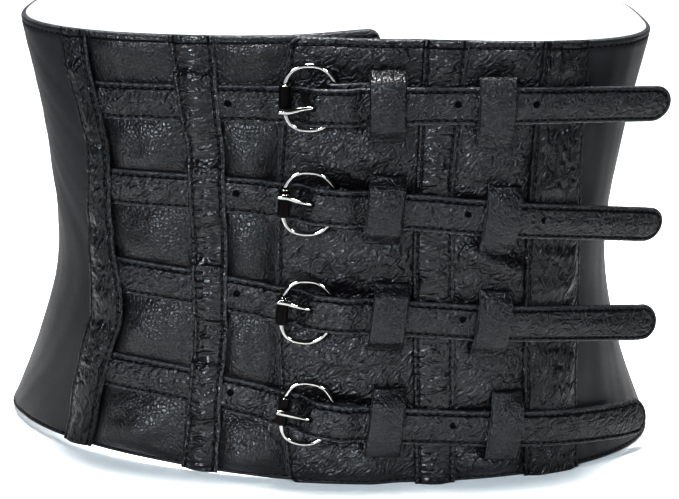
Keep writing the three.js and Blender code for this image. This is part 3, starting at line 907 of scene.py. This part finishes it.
def cell_rows(along):
    """The lower and upper sides of the cells between the hem, the straps and the rim."""
    half = STRAP_WIDTH / 2
    middles = [strap_height(strap, along) for strap in reversed(STRAPS)]
    lows = [left_hem(along) + HEM_STITCH] + [middle + half for middle in middles]
    highs = [middle - half for middle in middles]
    highs.append(np.full(np.shape(along), BELT_HEIGHT - RIM_STITCH))
    return list(zip(lows, highs))


def swell_across(start, end, at, skew):
    """0 at both sides of a cell and 1 on its crest, which a larger skew puts further on."""
    share = np.clip((at - start) / (end - start), 0, 1) ** skew
    return 1 - np.abs(2 * share - 1) ** PUFF_POWER


def puff_share(along, height):
    """0 on the cells' borders, going up to 1 on the crest of each."""
    share = np.zeros(np.broadcast(along, height).shape)
    for (low, high), skew in zip(cell_rows(along), ROW_SKEWS):
        rise = swell_across(low, high, height, skew)
        for left, right in cell_columns(height):
            share = np.maximum(share, rise * swell_across(left, right, along, COLUMN_SKEW))
    return share


# Larger folds of the right panel: two ends, the width and the height.
RIDGE_ENDS = (-3.0, 6.0)
RIDGES = [
    {"start": (52.0, 97.0), "end": (85.0, 83.0), "width": 7.0, "height": 3.6},
    {"start": (56.0, 125.0), "end": (80.0, 133.0), "width": 3.0, "height": 0.6},
    {"start": (54.0, 118.0), "end": (79.0, 125.0), "width": 2.5, "height": 0.6},
    {"start": (8.0, 128.0), "end": (34.0, 138.0), "width": 3.5, "height": 1.0},
    {"start": (8.0, 88.0), "end": (36.0, 97.0), "width": 4.0, "height": 1.2},
    {"start": (-8.0, 55.0), "end": (22.0, 48.0), "width": 3.5, "height": 0.6},
]


def ridge_relief(along, height):
    total = np.zeros(along.shape)
    for ridge in RIDGES:
        x0, z0 = ridge["start"]
        x1, z1 = ridge["end"]
        length = math.hypot(x1 - x0, z1 - z0)
        on = ((along - x0) * (x1 - x0) + (height - z0) * (z1 - z0)) / length
        off = ((height - z0) * (x1 - x0) - (along - x0) * (z1 - z0)) / length
        ends = ease(*RIDGE_ENDS, on) * ease(*RIDGE_ENDS, length - on)
        total += ridge["height"] * ends * bump_shape(off, ridge["width"])
    return total


def panel_creases(along, height, kind):
    folds = wrinkles(along, height, CREASE_LENGTH, CREASE_SPACING, kind["turn"], kind["seed"])
    return kind["height"] * (folds - 0.5)


def panel_relief(along, height):
    """How far the front panels' face is puffed out between the straps and strips."""
    share = puff_share(along, height)
    right = ease(*TO_RIGHT_PANEL, along)
    puff = PUFF_LEFT + (PUFF_RIGHT - PUFF_LEFT) * right
    puff = puff * (1 - TOP_ROW_FLATNESS * ease(*TOP_ROW, height))
    puff = puff * (1 + BOTTOM_ROW_SWELL * (1 - ease(*BOTTOM_ROW, height)))
    swell = 1 + PUFF_UNEVENNESS * noise(along / 17, height / 14, seed=3)
    lumps = LUMP_HEIGHT * noise(along / 7 + 0.3 * height / 7, height / 6, seed=5)
    creases = panel_creases(along, height, LEFT_CREASES)
    creases = creases + (panel_creases(along, height, RIGHT_CREASES) - creases) * right
    inside = np.minimum(share * 3, 1)
    return share * (puff * swell + lumps) + inside * (creases + ridge_relief(along, height))


def seam_distance(height, bottom, top):
    """The distance to the nearer of the seams under the rim and above the hem."""
    return np.minimum(np.abs(top - height - RIM_STITCH), np.abs(height - bottom - HEM_STITCH))


def wall_piece(name, along, height, edge, from_seam, lift, relief, material):
    """A piece of wall whose face lies at the lift, with round edges and sewn grooves."""
    relief = groove(from_seam, 0) * ease(0, 1, edge) + relief
    thickness = round_edge(edge, WALL, WALL_EDGE_RADIUS)
    inner = wall_point(along, height, lift - WALL)
    outer = wall_point(along, height, lift - WALL + thickness + relief)
    # Faces near the edges take the painted highlight, and the sewn grooves the painted shade.
    materials = [material, LINING, PAINTED_EDGE_HIGHLIGHT, PAINTED_RECESS_SHADE]
    add_shell(name, outer, inner, face_slots(edge, from_seam), materials)


def panel_piece(name, start, end, low, high, lift, free_side, material):
    """A front panel between its two sides, given by height, and its hem and top. One
    side is free and the other lies under a strip."""
    nominal_length = float(end(MIDDLE_HEIGHT) - start(MIDDLE_HEIGHT))
    u = lines_across(nominal_length, GRID_STEP) / nominal_length
    w = lines_across(BELT_HEIGHT, GRID_STEP) / BELT_HEIGHT
    u, w = np.meshgrid(u, w)
    left = start(BELT_HEIGHT * w)
    right = end(BELT_HEIGHT * w)
    along = left + (right - left) * u
    bottom = low(along)
    top = high(along)
    height = bottom + (top - bottom) * w
    from_side = along - left if free_side == "left" else right - along
    edge = np.minimum(np.minimum(height - bottom, top - height), from_side)
    from_seam = seam_distance(height, bottom, top)
    if free_side == "left":
        from_seam = np.minimum(from_seam, np.abs(along - left - EDGE_STITCH))
    relief = panel_relief(along, height)
    wall_piece(
        name, along, height, edge, from_seam, lift(along), relief, material
    )


def corner_cut(height):
    to_edge = np.clip(np.minimum(height, BELT_HEIGHT - height), 0, CORNER_RADIUS)
    return CORNER_RADIUS - np.sqrt(CORNER_RADIUS**2 - (CORNER_RADIUS - to_edge) ** 2)


def make_front_panels():
    panel_piece(
        "front_left_panel",
        lambda height: strip_middle("outer_strip_left", height) + GAP / 2,
        lambda height: UNDER_PANEL_END - corner_cut(height),
        left_hem,
        left_top,
        lambda along: 0.0 * along,
        "right",
        PANEL_LEATHER,
    )
    panel_piece(
        "front_right_panel",
        lambda height: overlap_edge(height) + corner_cut(height),
        lambda height: strip_middle("outer_strip_right", height) - GAP / 2,
        lambda along: 0.0 * along,
        lambda along: BELT_HEIGHT + 0.0 * along,
        panel_lift,
        "left",
        RIGHT_LEATHER,
    )


def back_relief(round_at, height):
    """Shallow upright folds beside the strips, and slow waves further back."""
    folds = 0.35 * noise(round_at / 8, height / 60, seed=11)
    waves = 0.3 * noise(round_at / 30, height / 45, seed=13)
    return folds + waves


def wall_ends(along):
    """The heights of the hem and the rim, which dip and rise at the left."""
    bottom = np.where(along < 0, left_hem(along), 0.0)
    return bottom, np.where(along < 0, left_top(along), BELT_HEIGHT)


def round_back(round_at, half):
    """The place along the wall, from one counted on past the middle of the back."""
    return np.where(round_at > half, round_at - 2 * half, round_at)


def make_back_panel():
    """The side and back wall, from the right seam round the back to the left one."""
    u = np.linspace(0, 1, BACK_COLUMNS)
    w = lines_across(BELT_HEIGHT, BACK_STEP) / BELT_HEIGHT
    u, w = np.meshgrid(u, w)
    nominal = BELT_HEIGHT * w
    half = half_round(nominal)
    start = strip_middle("outer_strip_right", nominal) + GAP / 2
    end = 2 * half + strip_middle("outer_strip_left", nominal) - GAP / 2
    round_at = start + (end - start) * u
    along = round_back(round_at, half)
    bottom, top = wall_ends(along)
    height = bottom + (top - bottom) * w
    edge = np.minimum(height - bottom, top - height)
    share = ease(0, 3, np.minimum(round_at - start, end - round_at)) * ease(0, 4, edge)
    relief = share * back_relief(round_at, height)
    from_seam = seam_distance(height, bottom, top)
    wall_piece(
        "back_panel", along, height, edge, from_seam, 0.0, relief, SIDE_CLOTH
    )


# Strips

STRIP_MARGIN = 1.9
STRIP_FACE = 0.95
BAND_EDGE_RADIUS = 0.7
BAND_SHOULDER = 0.45
STRIP_CROWN = 0.15
STRIP_FREE_CROWN = 1.1
THINNEST_STRIP = 0.25
MID_STRIP_HEIGHT = 95.0


def strip_profile(distance, crown):
    """The height of a strip across it: a flat margin, a sewn groove and a crown."""
    margin = round_edge(distance, STRIP_FACE, BAND_EDGE_RADIUS)
    shoulder = ease(STRIP_MARGIN, STRIP_MARGIN + 1.1, distance)
    dome = ease(STRIP_MARGIN, STRIP_MARGIN + 4.5, distance)
    rise = BAND_SHOULDER * shoulder + crown * dome
    return margin + rise + groove(distance, STRIP_MARGIN - 0.1, 0.4, 0.5)


def strip_base(name, along, height):
    """The lift of a strip's inner face, and 1 where no strap holds it down. The left
    strips lie over the straps and the right ones under them."""
    base = outer_panel_lift(along) + SEAT_GAP
    bridge = OUTER_BRIDGE if name == "outer_strip_left" else STRIP_BRIDGE
    raised = strap_under(along, height, bridge)
    if name.endswith("left"):
        return base + (STRAP_THICKNESS + SEAT_GAP) * raised, 1.0
    return base, 1 - raised


def make_strip(name):
    w = lines_across(BELT_HEIGHT, 1.0) / BELT_HEIGHT
    width = float(strip_width(name, MID_STRIP_HEIGHT))
    u = lines_across(width, 0.8) / width
    u, w = np.meshgrid(u, w)
    here = strip_width(name, BELT_HEIGHT * w)
    along = strip_middle(name, BELT_HEIGHT * w) + here * (u - 0.5)
    bottom, top = wall_ends(along)
    height = bottom + (top - bottom) * w
    base, free = strip_base(name, along, height)
    side = np.minimum(u, 1 - u) * here
    end = np.minimum(height - bottom, top - height)
    angle = 80 if name == "outer_strip_right" else 8
    crinkle = wrinkles(along, height, length=7, width=3.2, angle=angle, seed=21) - 0.5
    lumps = 0.5 * noise(along / 9, height / 11, seed=23)
    inside = ease(STRIP_MARGIN, STRIP_MARGIN + 2, side)
    crown = strip_profile(side, STRIP_CROWN + STRIP_FREE_CROWN * free)
    detail = inside * free * (crinkle + lumps) + groove(top - height, RIM_STITCH)
    edge = round_edge(np.minimum(side, end), STRIP_FACE, BAND_EDGE_RADIUS) / STRIP_FACE
    lift = base + edge * np.maximum(crown + detail * ease(0, 1, end), THINNEST_STRIP)
    inner = wall_point(along, height, base)
    outer = wall_point(along, height, lift)
    from_seam = np.minimum(np.abs(side - STRIP_MARGIN), np.abs(top - height - RIM_STITCH))
    # Only the right edge takes the painted edge highlight, as the side that catches the light;
    # the grooves take the painted shade.
    slots = face_slots((1 - u) * here, from_seam)
    materials = [STRIP_LEATHER, BACKING, PAINTED_EDGE_HIGHLIGHT, PAINTED_RECESS_SHADE]
    if name.startswith("outer"):
        materials = [DARK_STRIP_LEATHER, BACKING, DARK_PAINTED_EDGE_HIGHLIGHT, PAINTED_RECESS_SHADE]
    add_shell(name, outer, inner, slots, materials)


# Straps and keepers

STRAP_MARGIN = 1.9
HOLE_RADIUS = 1.0
PRONG_HOLE = 0.9
STRAP_SEAM = 1.75
PIT_DEPTH = 1.75
PIT_SIDE = -0.6
DIMPLE_DEPTH = 0.22
DIMPLE_RADIUS = 3.4
RIM_HEIGHT = 0.14
RIM_RADIUS = HOLE_RADIUS + 0.65
RIM_HALF_WIDTH = 0.55
HOLE_STEP = 0.2
THINNEST_STRAP = 0.02
STRAP_FACE = 1.25
STRAP_CROWN = 0.5
STRAP_CRINKLE = 0.34
KEEPER_ARCH = 0.7
KEEPER_CROWN = 0.3
KEEPER_WAVES = 0.18
KEEPER_EDGE_RADIUS = 0.9
OVER_STRAP_CROWN = 0.15


def strap_profile(distance):
    """The height of a strap's outer face above its inner one."""
    margin = round_edge(distance, STRAP_FACE, BAND_EDGE_RADIUS)
    rise = BAND_SHOULDER * ease(STRAP_MARGIN, STRAP_MARGIN + 0.9, distance)
    crown = STRAP_CROWN * ease(STRAP_MARGIN, STRAP_WIDTH / 2, distance)
    return margin + rise + crown + groove(distance, STRAP_SEAM, 0.6, 0.5)


def hole_relief(along, offset, hole):
    """A punched hole's pit, with the raised rim and the shallow dimple round it."""
    at, rise = hole
    away = np.hypot(along - at, offset - rise)
    pit = -PIT_DEPTH * (1 - ease(HOLE_RADIUS - 0.1, HOLE_RADIUS + 0.25, away))
    dimple = -DIMPLE_DEPTH * bump_shape(away, DIMPLE_RADIUS)
    rim = RIM_HEIGHT * bump_shape(away - RIM_RADIUS, RIM_HALF_WIDTH)
    return np.where(pit < PIT_SIDE, pit, pit + dimple + rim)


def near(places, reach):
    """Places closely spaced round each of the given ones."""
    count = int(2 * reach / HOLE_STEP) + 1
    return [place + shift for place in places for shift in np.linspace(-reach, reach, count)]


def make_strap(strap, number):
    radius = STRAP_WIDTH / 2
    length = strap["tip"] - STRAP_START
    holes = strap["holes"] + [(strap["buckle"] + PRONG_HOLE, strap["prong_hole"])]
    hole_columns = near([at - STRAP_START for at, rise in holes], 1.6)
    hole_rows = near([rise + radius for at, rise in holes], 1.4)
    tip = length - radius * (1 - np.cos(np.linspace(0, np.pi / 2, 24)))
    u = lines_across(length, 1.3, hole_columns + list(tip))
    v = lines_across(STRAP_WIDTH, 0.8, hole_rows)
    u, v = np.meshgrid(u, v)
    along = STRAP_START + u
    past = np.maximum(along - (strap["tip"] - radius), 0)
    half = np.sqrt(np.maximum(radius**2 - past**2, 0.5**2))
    offset = half * (2 * v / STRAP_WIDTH - 1)
    edge = radius - np.hypot(offset, past)
    edge = np.minimum(np.maximum(edge, 0), along - STRAP_START)
    relief = strap_profile(edge)
    shaded_pits = np.zeros(edge.shape, bool)
    for hole in holes:
        dip = hole_relief(along, offset, hole)
        shaded_pits = shaded_pits | (dip < PIT_SIDE)
        relief = relief + dip
    inside = ease(STRAP_MARGIN, STRAP_MARGIN + 1.5, edge)
    crinkle = wrinkles(along, offset, length=5, width=2.2, angle=35, seed=30 + number)
    relief = relief + STRAP_CRINKLE * inside * (crinkle - 0.5)
    base = strap_lift(strap, along)
    inner = strap_point(strap, along, offset, base)
    outer = strap_point(strap, along, offset, base + np.maximum(relief, THINNEST_STRAP))
    # Edges take the painted highlight, and the seam's groove and the hole pits the painted shade.
    slots = face_slots(edge, np.abs(edge - STRAP_SEAM), shaded_pits)
    materials = [STRAP_LEATHER, BACKING, PAINTED_EDGE_HIGHLIGHT, PAINTED_RECESS_SHADE]
    add_shell("strap_" + str(number), outer, inner, slots, materials)


def make_keeper(strap, number, index):
    """A loop over a strap, whose ends go down to the panel beside it."""
    at, rise = strap["keepers"][index]
    half_height = KEEPER_HALF_HEIGHT + KEEPER_TAIL
    u = lines_across(KEEPER_WIDTH, 0.8)
    v = lines_across(2 * half_height, 0.7)
    u, v = np.meshgrid(u, v)
    along = at + u - KEEPER_WIDTH / 2
    offset = rise + v - half_height
    place, height = across_strap(strap, along, offset)
    beside = outer_panel_lift(along) + SEAT_GAP + panel_relief(place, height)
    over = strap_lift(strap, along) + STRAP_THICKNESS + SEAT_GAP + OVER_STRAP_CROWN
    clear = STRAP_WIDTH / 2 + KEEPER_CLEARANCE
    raised = 1 - ease(clear, half_height + abs(rise), np.abs(offset))
    base = beside + (over - beside) * raised
    side = np.minimum(u, KEEPER_WIDTH - u)
    end = np.minimum(v, 2 * half_height - v)
    profile = round_edge(np.minimum(side, end), KEEPER_THICKNESS, KEEPER_EDGE_RADIUS)
    crown = KEEPER_CROWN * ease(0.5, KEEPER_WIDTH / 2, side)
    arch = KEEPER_ARCH * (1 - np.clip(offset / clear, -1, 1) ** 2)
    waves = KEEPER_WAVES * noise(along / 5, offset / 3.5, seed=50 + 2 * number + index)
    relief = profile * (1 + crown + arch + ease(0.5, 2.5, side) * waves)
    inner = strap_point(strap, along, offset, base)
    outer = strap_point(strap, along, offset, base + relief)
    name = "keeper_" + str(number) + "ab"[index]
    materials = [KEEPER_LEATHER, BACKING, PAINTED_EDGE_HIGHLIGHT]
    # The keeper's sides take the painted edge highlight.
    add_shell(name, outer, inner, face_slots(side + 0.3), materials)


def make_buckle_strap(strap, number):
    """The strap round the ring's right side, folded back over itself."""
    inside = WIRE_RADIUS + EYE_GAP
    flat = (1 - FOLD_SHARE) / 2
    fold = np.linspace(flat, 1 - flat, 26)[1:]
    u = np.concatenate([np.linspace(0, flat, 30), fold, np.linspace(1 - flat, 1, 30)[1:]])
    w = lines_across(BUCKLE_STRAP_WIDTH, 0.7) / BUCKLE_STRAP_WIDTH
    u, w = np.meshgrid(u, w)
    offset = strap["ring_rise"] + BUCKLE_STRAP_WIDTH * (w - 0.5)
    eye = strap["buckle"] + ring_right_side(offset - strap["ring_rise"])
    end = strap["buckle"] + RING_HALF_WIDTH + BUCKLE_STRAP_REACH
    side = np.minimum(w, 1 - w) * BUCKLE_STRAP_WIDTH

    def surface(thickness):
        below = end - (end - eye) * np.clip(u / flat, 0, 1)
        low = outer_panel_lift(below) + SEAT_GAP + LOOP_THICKNESS - thickness
        share = np.clip((u - 1 + flat) / flat, 0, 1)
        above = eye + (end - eye) * share
        flat_lift = outer_panel_lift(above) + SEAT_GAP + GAP + LOOP_THICKNESS
        top = RING_RIGHT_LIFT + inside
        high = top + (flat_lift - top) * ease(0, FOLD_DOWN_SHARE, share) + thickness
        angle = -np.pi / 2 - np.pi * (u - flat) / FOLD_SHARE
        around = eye + (inside + thickness) * np.cos(angle)
        lift = RING_RIGHT_LIFT + (inside + thickness) * np.sin(angle)
        along = np.where(u < flat, below, np.where(u > 1 - flat, above, around))
        lift = np.where(u < flat, low, np.where(u > 1 - flat, high, lift))
        return strap_point(strap, along, offset, lift)

    outer = surface(round_edge(side, LOOP_THICKNESS, 0.6))
    inner = surface(0.0)
    name = "buckle_strap_" + str(number)
    materials = [STRAP_LEATHER, BACKING, PAINTED_EDGE_HIGHLIGHT]
    # The sides take the painted edge highlight.
    add_shell(name, outer, inner, face_slots(side), materials)


# Buckles

FRAME_REACH = 1.5
RING_WIRE = 0.98
RING_STEPS = 144
RING_SIDES = 16
RING_SMOOTHINGS = 4


def buckle_frame(strap):
    """The buckle's middle, and the ways along the strap, up and out."""
    left = buckle_point(strap, BAR_OFFSET, strap["ring_rise"], BAR_LIFT)
    right = buckle_point(strap, RING_HALF_WIDTH, strap["ring_rise"], RING_RIGHT_LIFT)
    across = unit(right - left)
    at = strap["buckle"]
    height = float(strap_height(strap, at))
    tangent = wall_point(at + FRAME_REACH, height, 0) - wall_point(at - FRAME_REACH, height, 0)
    rise = wall_point(at, height + FRAME_REACH, 0) - wall_point(at, height - FRAME_REACH, 0)
    upward = unit(np.cross(np.cross(tangent, rise), across))
    return left - across * BAR_OFFSET, np.array([across, upward, np.cross(across, upward)])


def ring_radius(angle):
    left = np.cos(angle) < 0
    power = np.where(left, RING_BAR_SIDE_POWER, RING_POWER)
    across = np.abs(np.cos(angle) / RING_HALF_WIDTH) ** power
    upward = np.abs(np.sin(angle) / RING_HALF_HEIGHT) ** power
    oval = (across + upward) ** (-1 / power)
    bar = np.where(left, BAR_OFFSET / np.minimum(np.cos(angle), -1e-6), 1e9)
    return np.minimum(oval, bar)


def make_ring(strap, number):
    angle = np.linspace(0, 2 * np.pi, RING_STEPS, endpoint=False)
    path = ring_radius(angle)[:, None] * np.stack([np.cos(angle), np.sin(angle)], axis=-1)
    for _ in range(RING_SMOOTHINGS):
        path = (np.roll(path, 1, axis=0) + 2 * path + np.roll(path, -1, axis=0)) / 4
    tangent = unit(np.roll(path, -1, axis=0) - np.roll(path, 1, axis=0))
    normal = np.stack([tangent[:, 1], -tangent[:, 0]], axis=-1)
    cosine, sine = circle(RING_SIDES)
    flat = path[:, None, :] + RING_WIRE * cosine[None, :, None] * normal[:, None, :]
    depth = np.broadcast_to(RING_WIRE * sine[None, :, None], (RING_STEPS, RING_SIDES, 1))
    middle, axes = buckle_frame(strap)
    points = middle + np.concatenate([flat, depth], axis=-1).reshape(-1, 3) @ axes
    name = "ring_" + str(number)
    piece = new_piece(name, points, wrapped_faces(RING_STEPS, RING_SIDES), [CHROME])
    finish_piece(piece, [name])


# The roller's outline near its ends: how far it lies inside its full radius, and where.
ROLLER_CUT = np.array([0.45, 0.12, 0.0, 0.0])
ROLLER_FROM_END = np.array([0.0, 0.14, 0.45, 1.4])
ROLLER_WAIST = 0.06
ROLLER_SIDES = 32
# Bands of faces at the roller's ends, three at the top end and two at the bottom, are chrome on
# the dark metal: a painted highlight.
ROLLER_HIGHLIGHT_BANDS = [0, 1, 7, 8, 9]


def make_roller(strap, number):
    """A rolled sheet tube round the bar, with rounded ends."""
    half = ROLLER_LENGTH / 2
    bore = WIRE_RADIUS + GAP
    cut = np.concatenate([ROLLER_CUT, [ROLLER_WAIST], ROLLER_CUT[::-1]])
    radius = np.concatenate([[bore], ROLLER_RADIUS - cut, [bore, bore]])[:, None]
    place = np.concatenate([ROLLER_FROM_END - half, [0.0], (half - ROLLER_FROM_END)[::-1]])
    place = np.concatenate([[-half], place, [half, 0.0]])[:, None]
    cosine, sine = circle(ROLLER_SIDES)
    upward = np.broadcast_to(place, (len(place), ROLLER_SIDES))
    local = np.stack([BAR_OFFSET + radius * cosine, upward, radius * sine], axis=-1)
    middle, axes = buckle_frame(strap)
    faces = wrapped_faces(len(place), ROLLER_SIDES)
    # The end bands take chrome as a painted highlight.
    painted_highlight = np.isin(np.arange(len(faces)) // ROLLER_SIDES, ROLLER_HIGHLIGHT_BANDS)
    name = "roller_" + str(number)
    points = middle + local.reshape(-1, 3) @ axes
    piece = new_piece(name, points, faces, [DARK_METAL, CHROME], painted_highlight)
    finish_piece(piece, [name])


# The prong grows thicker between two shares of its length, and its ends are blunt.
PRONG_STEPS = 40
PRONG_TIP_RADIUS = 0.72
PRONG_SWELL = 0.5
PRONG_SWELL_FROM_TO = (0.45, 0.85)
PRONG_BLUNTNESS = 0.2
PRONG_ROUND_TIP = 0.04
PRONG_ROUND_END = 0.06


def make_prong(strap, number):
    share = np.linspace(0, 1, PRONG_STEPS)
    radii = PRONG_TIP_RADIUS + PRONG_SWELL * ease(*PRONG_SWELL_FROM_TO, share)
    for from_end, rounding in ((share, PRONG_ROUND_TIP), (1 - share, PRONG_ROUND_END)):
        radii = radii * np.minimum(round_edge(from_end, 1, rounding) + PRONG_BLUNTNESS, 1)
    points, faces = rod(spline(prong_points(strap), PRONG_STEPS), radii)
    name = "prong_" + str(number)
    finish_piece(new_piece(name, points, faces, [CHROME]), [name])


# Stitches

SEWN_STEP = 0.5
SUNK_THREAD = -0.2
STRIP_THREAD_LIFT = 0.72
STRAP_THREAD_LIFT = 0.85
RIM_SEAM = (-95.0, 88.0)
HEM_SEAM = (-102.0, 95.0)


def sewn_line(along, height, lift):
    """Points of a stitch line on the wall, with their outward directions."""
    points = wall_point(along, height, lift)
    return points, wall_point(along, height, lift + 1) - points


def panel_stitches():
    """Lines below the rim, above the hem and beside the overlap's free edge."""
    hem_edge, rim_edge = OVERLAP_EDGE[0], OVERLAP_EDGE[3]
    left_rim = np.arange(RIM_SEAM[0], UNDER_PANEL_END - 2, SEWN_STEP)
    left_bottom = np.arange(HEM_SEAM[0], hem_edge - 1, SEWN_STEP)
    right_rim = np.arange(rim_edge + 3, RIM_SEAM[1], SEWN_STEP)
    right_bottom = np.arange(hem_edge + 3, HEM_SEAM[1], SEWN_STEP)
    height = np.arange(4.0, BELT_HEIGHT - 4, SEWN_STEP)
    edge = overlap_edge(height) + corner_cut(height) + EDGE_STITCH
    rim = BELT_HEIGHT - RIM_STITCH
    stitch_piece("panel_stitches", [
        sewn_line(left_rim, left_top(left_rim) - RIM_STITCH, SUNK_THREAD),
        sewn_line(left_bottom, left_hem(left_bottom) + HEM_STITCH, SUNK_THREAD),
        sewn_line(right_rim, rim, panel_lift(right_rim) + SUNK_THREAD),
        sewn_line(right_bottom, HEM_STITCH, panel_lift(right_bottom) + SUNK_THREAD),
        sewn_line(edge, height, panel_lift(edge) + SUNK_THREAD),
    ])


def back_stitches():
    """Lines above the hem and below the rim round the sides and the back."""
    lines = []
    for nominal in (0.0, BELT_HEIGHT):
        half = float(half_round(nominal))
        start = float(strip_side("outer_strip_right", nominal, 1)) + 2
        end = 2 * half + float(strip_side("outer_strip_left", nominal, -1)) - 2
        along = round_back(np.arange(start, end, SEWN_STEP), half)
        bottom, top = wall_ends(along)
        height = bottom + HEM_STITCH if nominal == 0.0 else top - RIM_STITCH
        lines.append(sewn_line(along, height, SUNK_THREAD))
    stitch_piece("back_stitches", lines)


def strip_stitches(name):
    nominal = np.arange(2.5, BELT_HEIGHT - 2.5, SEWN_STEP)
    lines = []
    for side in (-1, 1):
        away = strip_width(name, nominal) / 2 - STRIP_MARGIN
        along = strip_middle(name, nominal) + side * away
        bottom, top = wall_ends(along)
        height = bottom + (top - bottom) * (nominal / BELT_HEIGHT)
        base = strip_base(name, along, height)[0]
        lines.append(sewn_line(along, height, base + STRIP_THREAD_LIFT))
    stitch_piece(name + "_stitches", lines)


def strap_stitches(strap, number):
    """A line inside each long edge, joined round the tip."""
    radius = STRAP_WIDTH / 2 - STRAP_SEAM
    middle = strap["tip"] - STRAP_WIDTH / 2
    straight = np.arange(STRAP_START + 3, middle, SEWN_STEP)
    side = np.full(len(straight), radius)
    turn = np.linspace(-np.pi / 2, np.pi / 2, 30)
    along = np.concatenate([straight, middle + radius * np.cos(turn), straight[::-1]])
    offset = np.concatenate([-side, radius * np.sin(turn), side])
    lift = strap_lift(strap, along) + STRAP_THREAD_LIFT
    points = strap_point(strap, along, offset, lift)
    line = (points, strap_point(strap, along, offset, lift + 1) - points)
    stitch_piece("strap_" + str(number) + "_stitches", [line])


# All pieces

def make_stitches():
    panel_stitches()
    back_stitches()
    for name in STRIPS:
        strip_stitches(name)
    for number, strap in enumerate(STRAPS, start=1):
        strap_stitches(strap, number)


def make_all():
    make_front_panels()
    make_back_panel()
    for name in STRIPS:
        make_strip(name)
    for number, strap in enumerate(STRAPS, start=1):
        make_strap(strap, number)
        make_keeper(strap, number, 0)
        make_keeper(strap, number, 1)
        make_buckle_strap(strap, number)
        make_ring(strap, number)
        make_roller(strap, number)
        make_prong(strap, number)
    make_stitches()


make_all()


# Light and floor

FLOOR_SIZE = 12.0
FLOOR_COLOR = (0.86, 0.86, 0.86)
PHOTO_CONTRAST = 0.72
WORLD_FRONT = 0.04
WORLD_BACK = 0.45
COOL_WHITE = (0.84, 0.93, 1.0)
WHITE = (1.0, 1.0, 1.0)

# Rectangular lights: their place and aim in metres, size, watts, colour and spread. Two
# small ones light the leather and two narrow ones only the floor.
LIGHTS = {
    "left_key": [(-0.50, -1.27, 0.48), (0, 0, 0.09), (0.42, 0.30), 26, COOL_WHITE, 180],
    "right_key": [(0.78, -1.10, 0.60), (0, 0, 0.09), (0.28, 0.20), 11, COOL_WHITE, 180],
    "near_floor": [(0, 0.14, 1.0), (0, 0.1401, 0), (0.54, 0.78), 3.5, WHITE, 14],
    "far_floor": [(0, 1.6, 1.3), (0, 1.6001, 0), (1.7, 2.6), 24, WHITE, 40],
}


def make_floor():
    bpy.ops.mesh.primitive_grid_add(x_subdivisions=8, y_subdivisions=8, size=FLOOR_SIZE)
    floor = bpy.context.object
    floor.name = "floor"
    floor.data.materials.append(shader("floor", FLOOR_COLOR, 0.9, specular=0.1)[0])


def make_light(name, place, aim, size, watts, color, spread):
    data = bpy.data.lights.new(name, "AREA")
    data.shape = "RECTANGLE"
    data.size, data.size_y = size
    data.energy = watts
    data.color = color
    data.spread = math.radians(spread)
    light = bpy.data.objects.new(name, data)
    bpy.context.scene.collection.objects.link(light)
    light.location = Vector(place)
    ahead = Vector(aim) - Vector(place)
    light.rotation_euler = ahead.to_track_quat("-Z", "Y").to_euler()


def make_world():
    """A dark room in front of the belt and a white backdrop behind it."""
    world = bpy.data.worlds.new("studio")
    bpy.context.scene.world = world
    world.use_nodes = True
    background = world.node_tree.nodes["Background"]
    background.inputs["Color"].default_value = (1.0, 1.0, 1.0, 1.0)
    place = add_node(world, "ShaderNodeTexCoord").outputs["Generated"]
    parts = add_node(world, "ShaderNodeSeparateXYZ", {"Vector": place})
    strength = map_range(world, parts.outputs["Y"], 0.1, 0.9, WORLD_FRONT, WORLD_BACK)
    world.node_tree.links.new(strength, background.inputs["Strength"])


make_floor()
make_world()
for name, row in LIGHTS.items():
    make_light(name, *row)
bpy.context.scene.view_settings.view_transform = "Standard"
bpy.context.scene.view_settings.gamma = PHOTO_CONTRAST
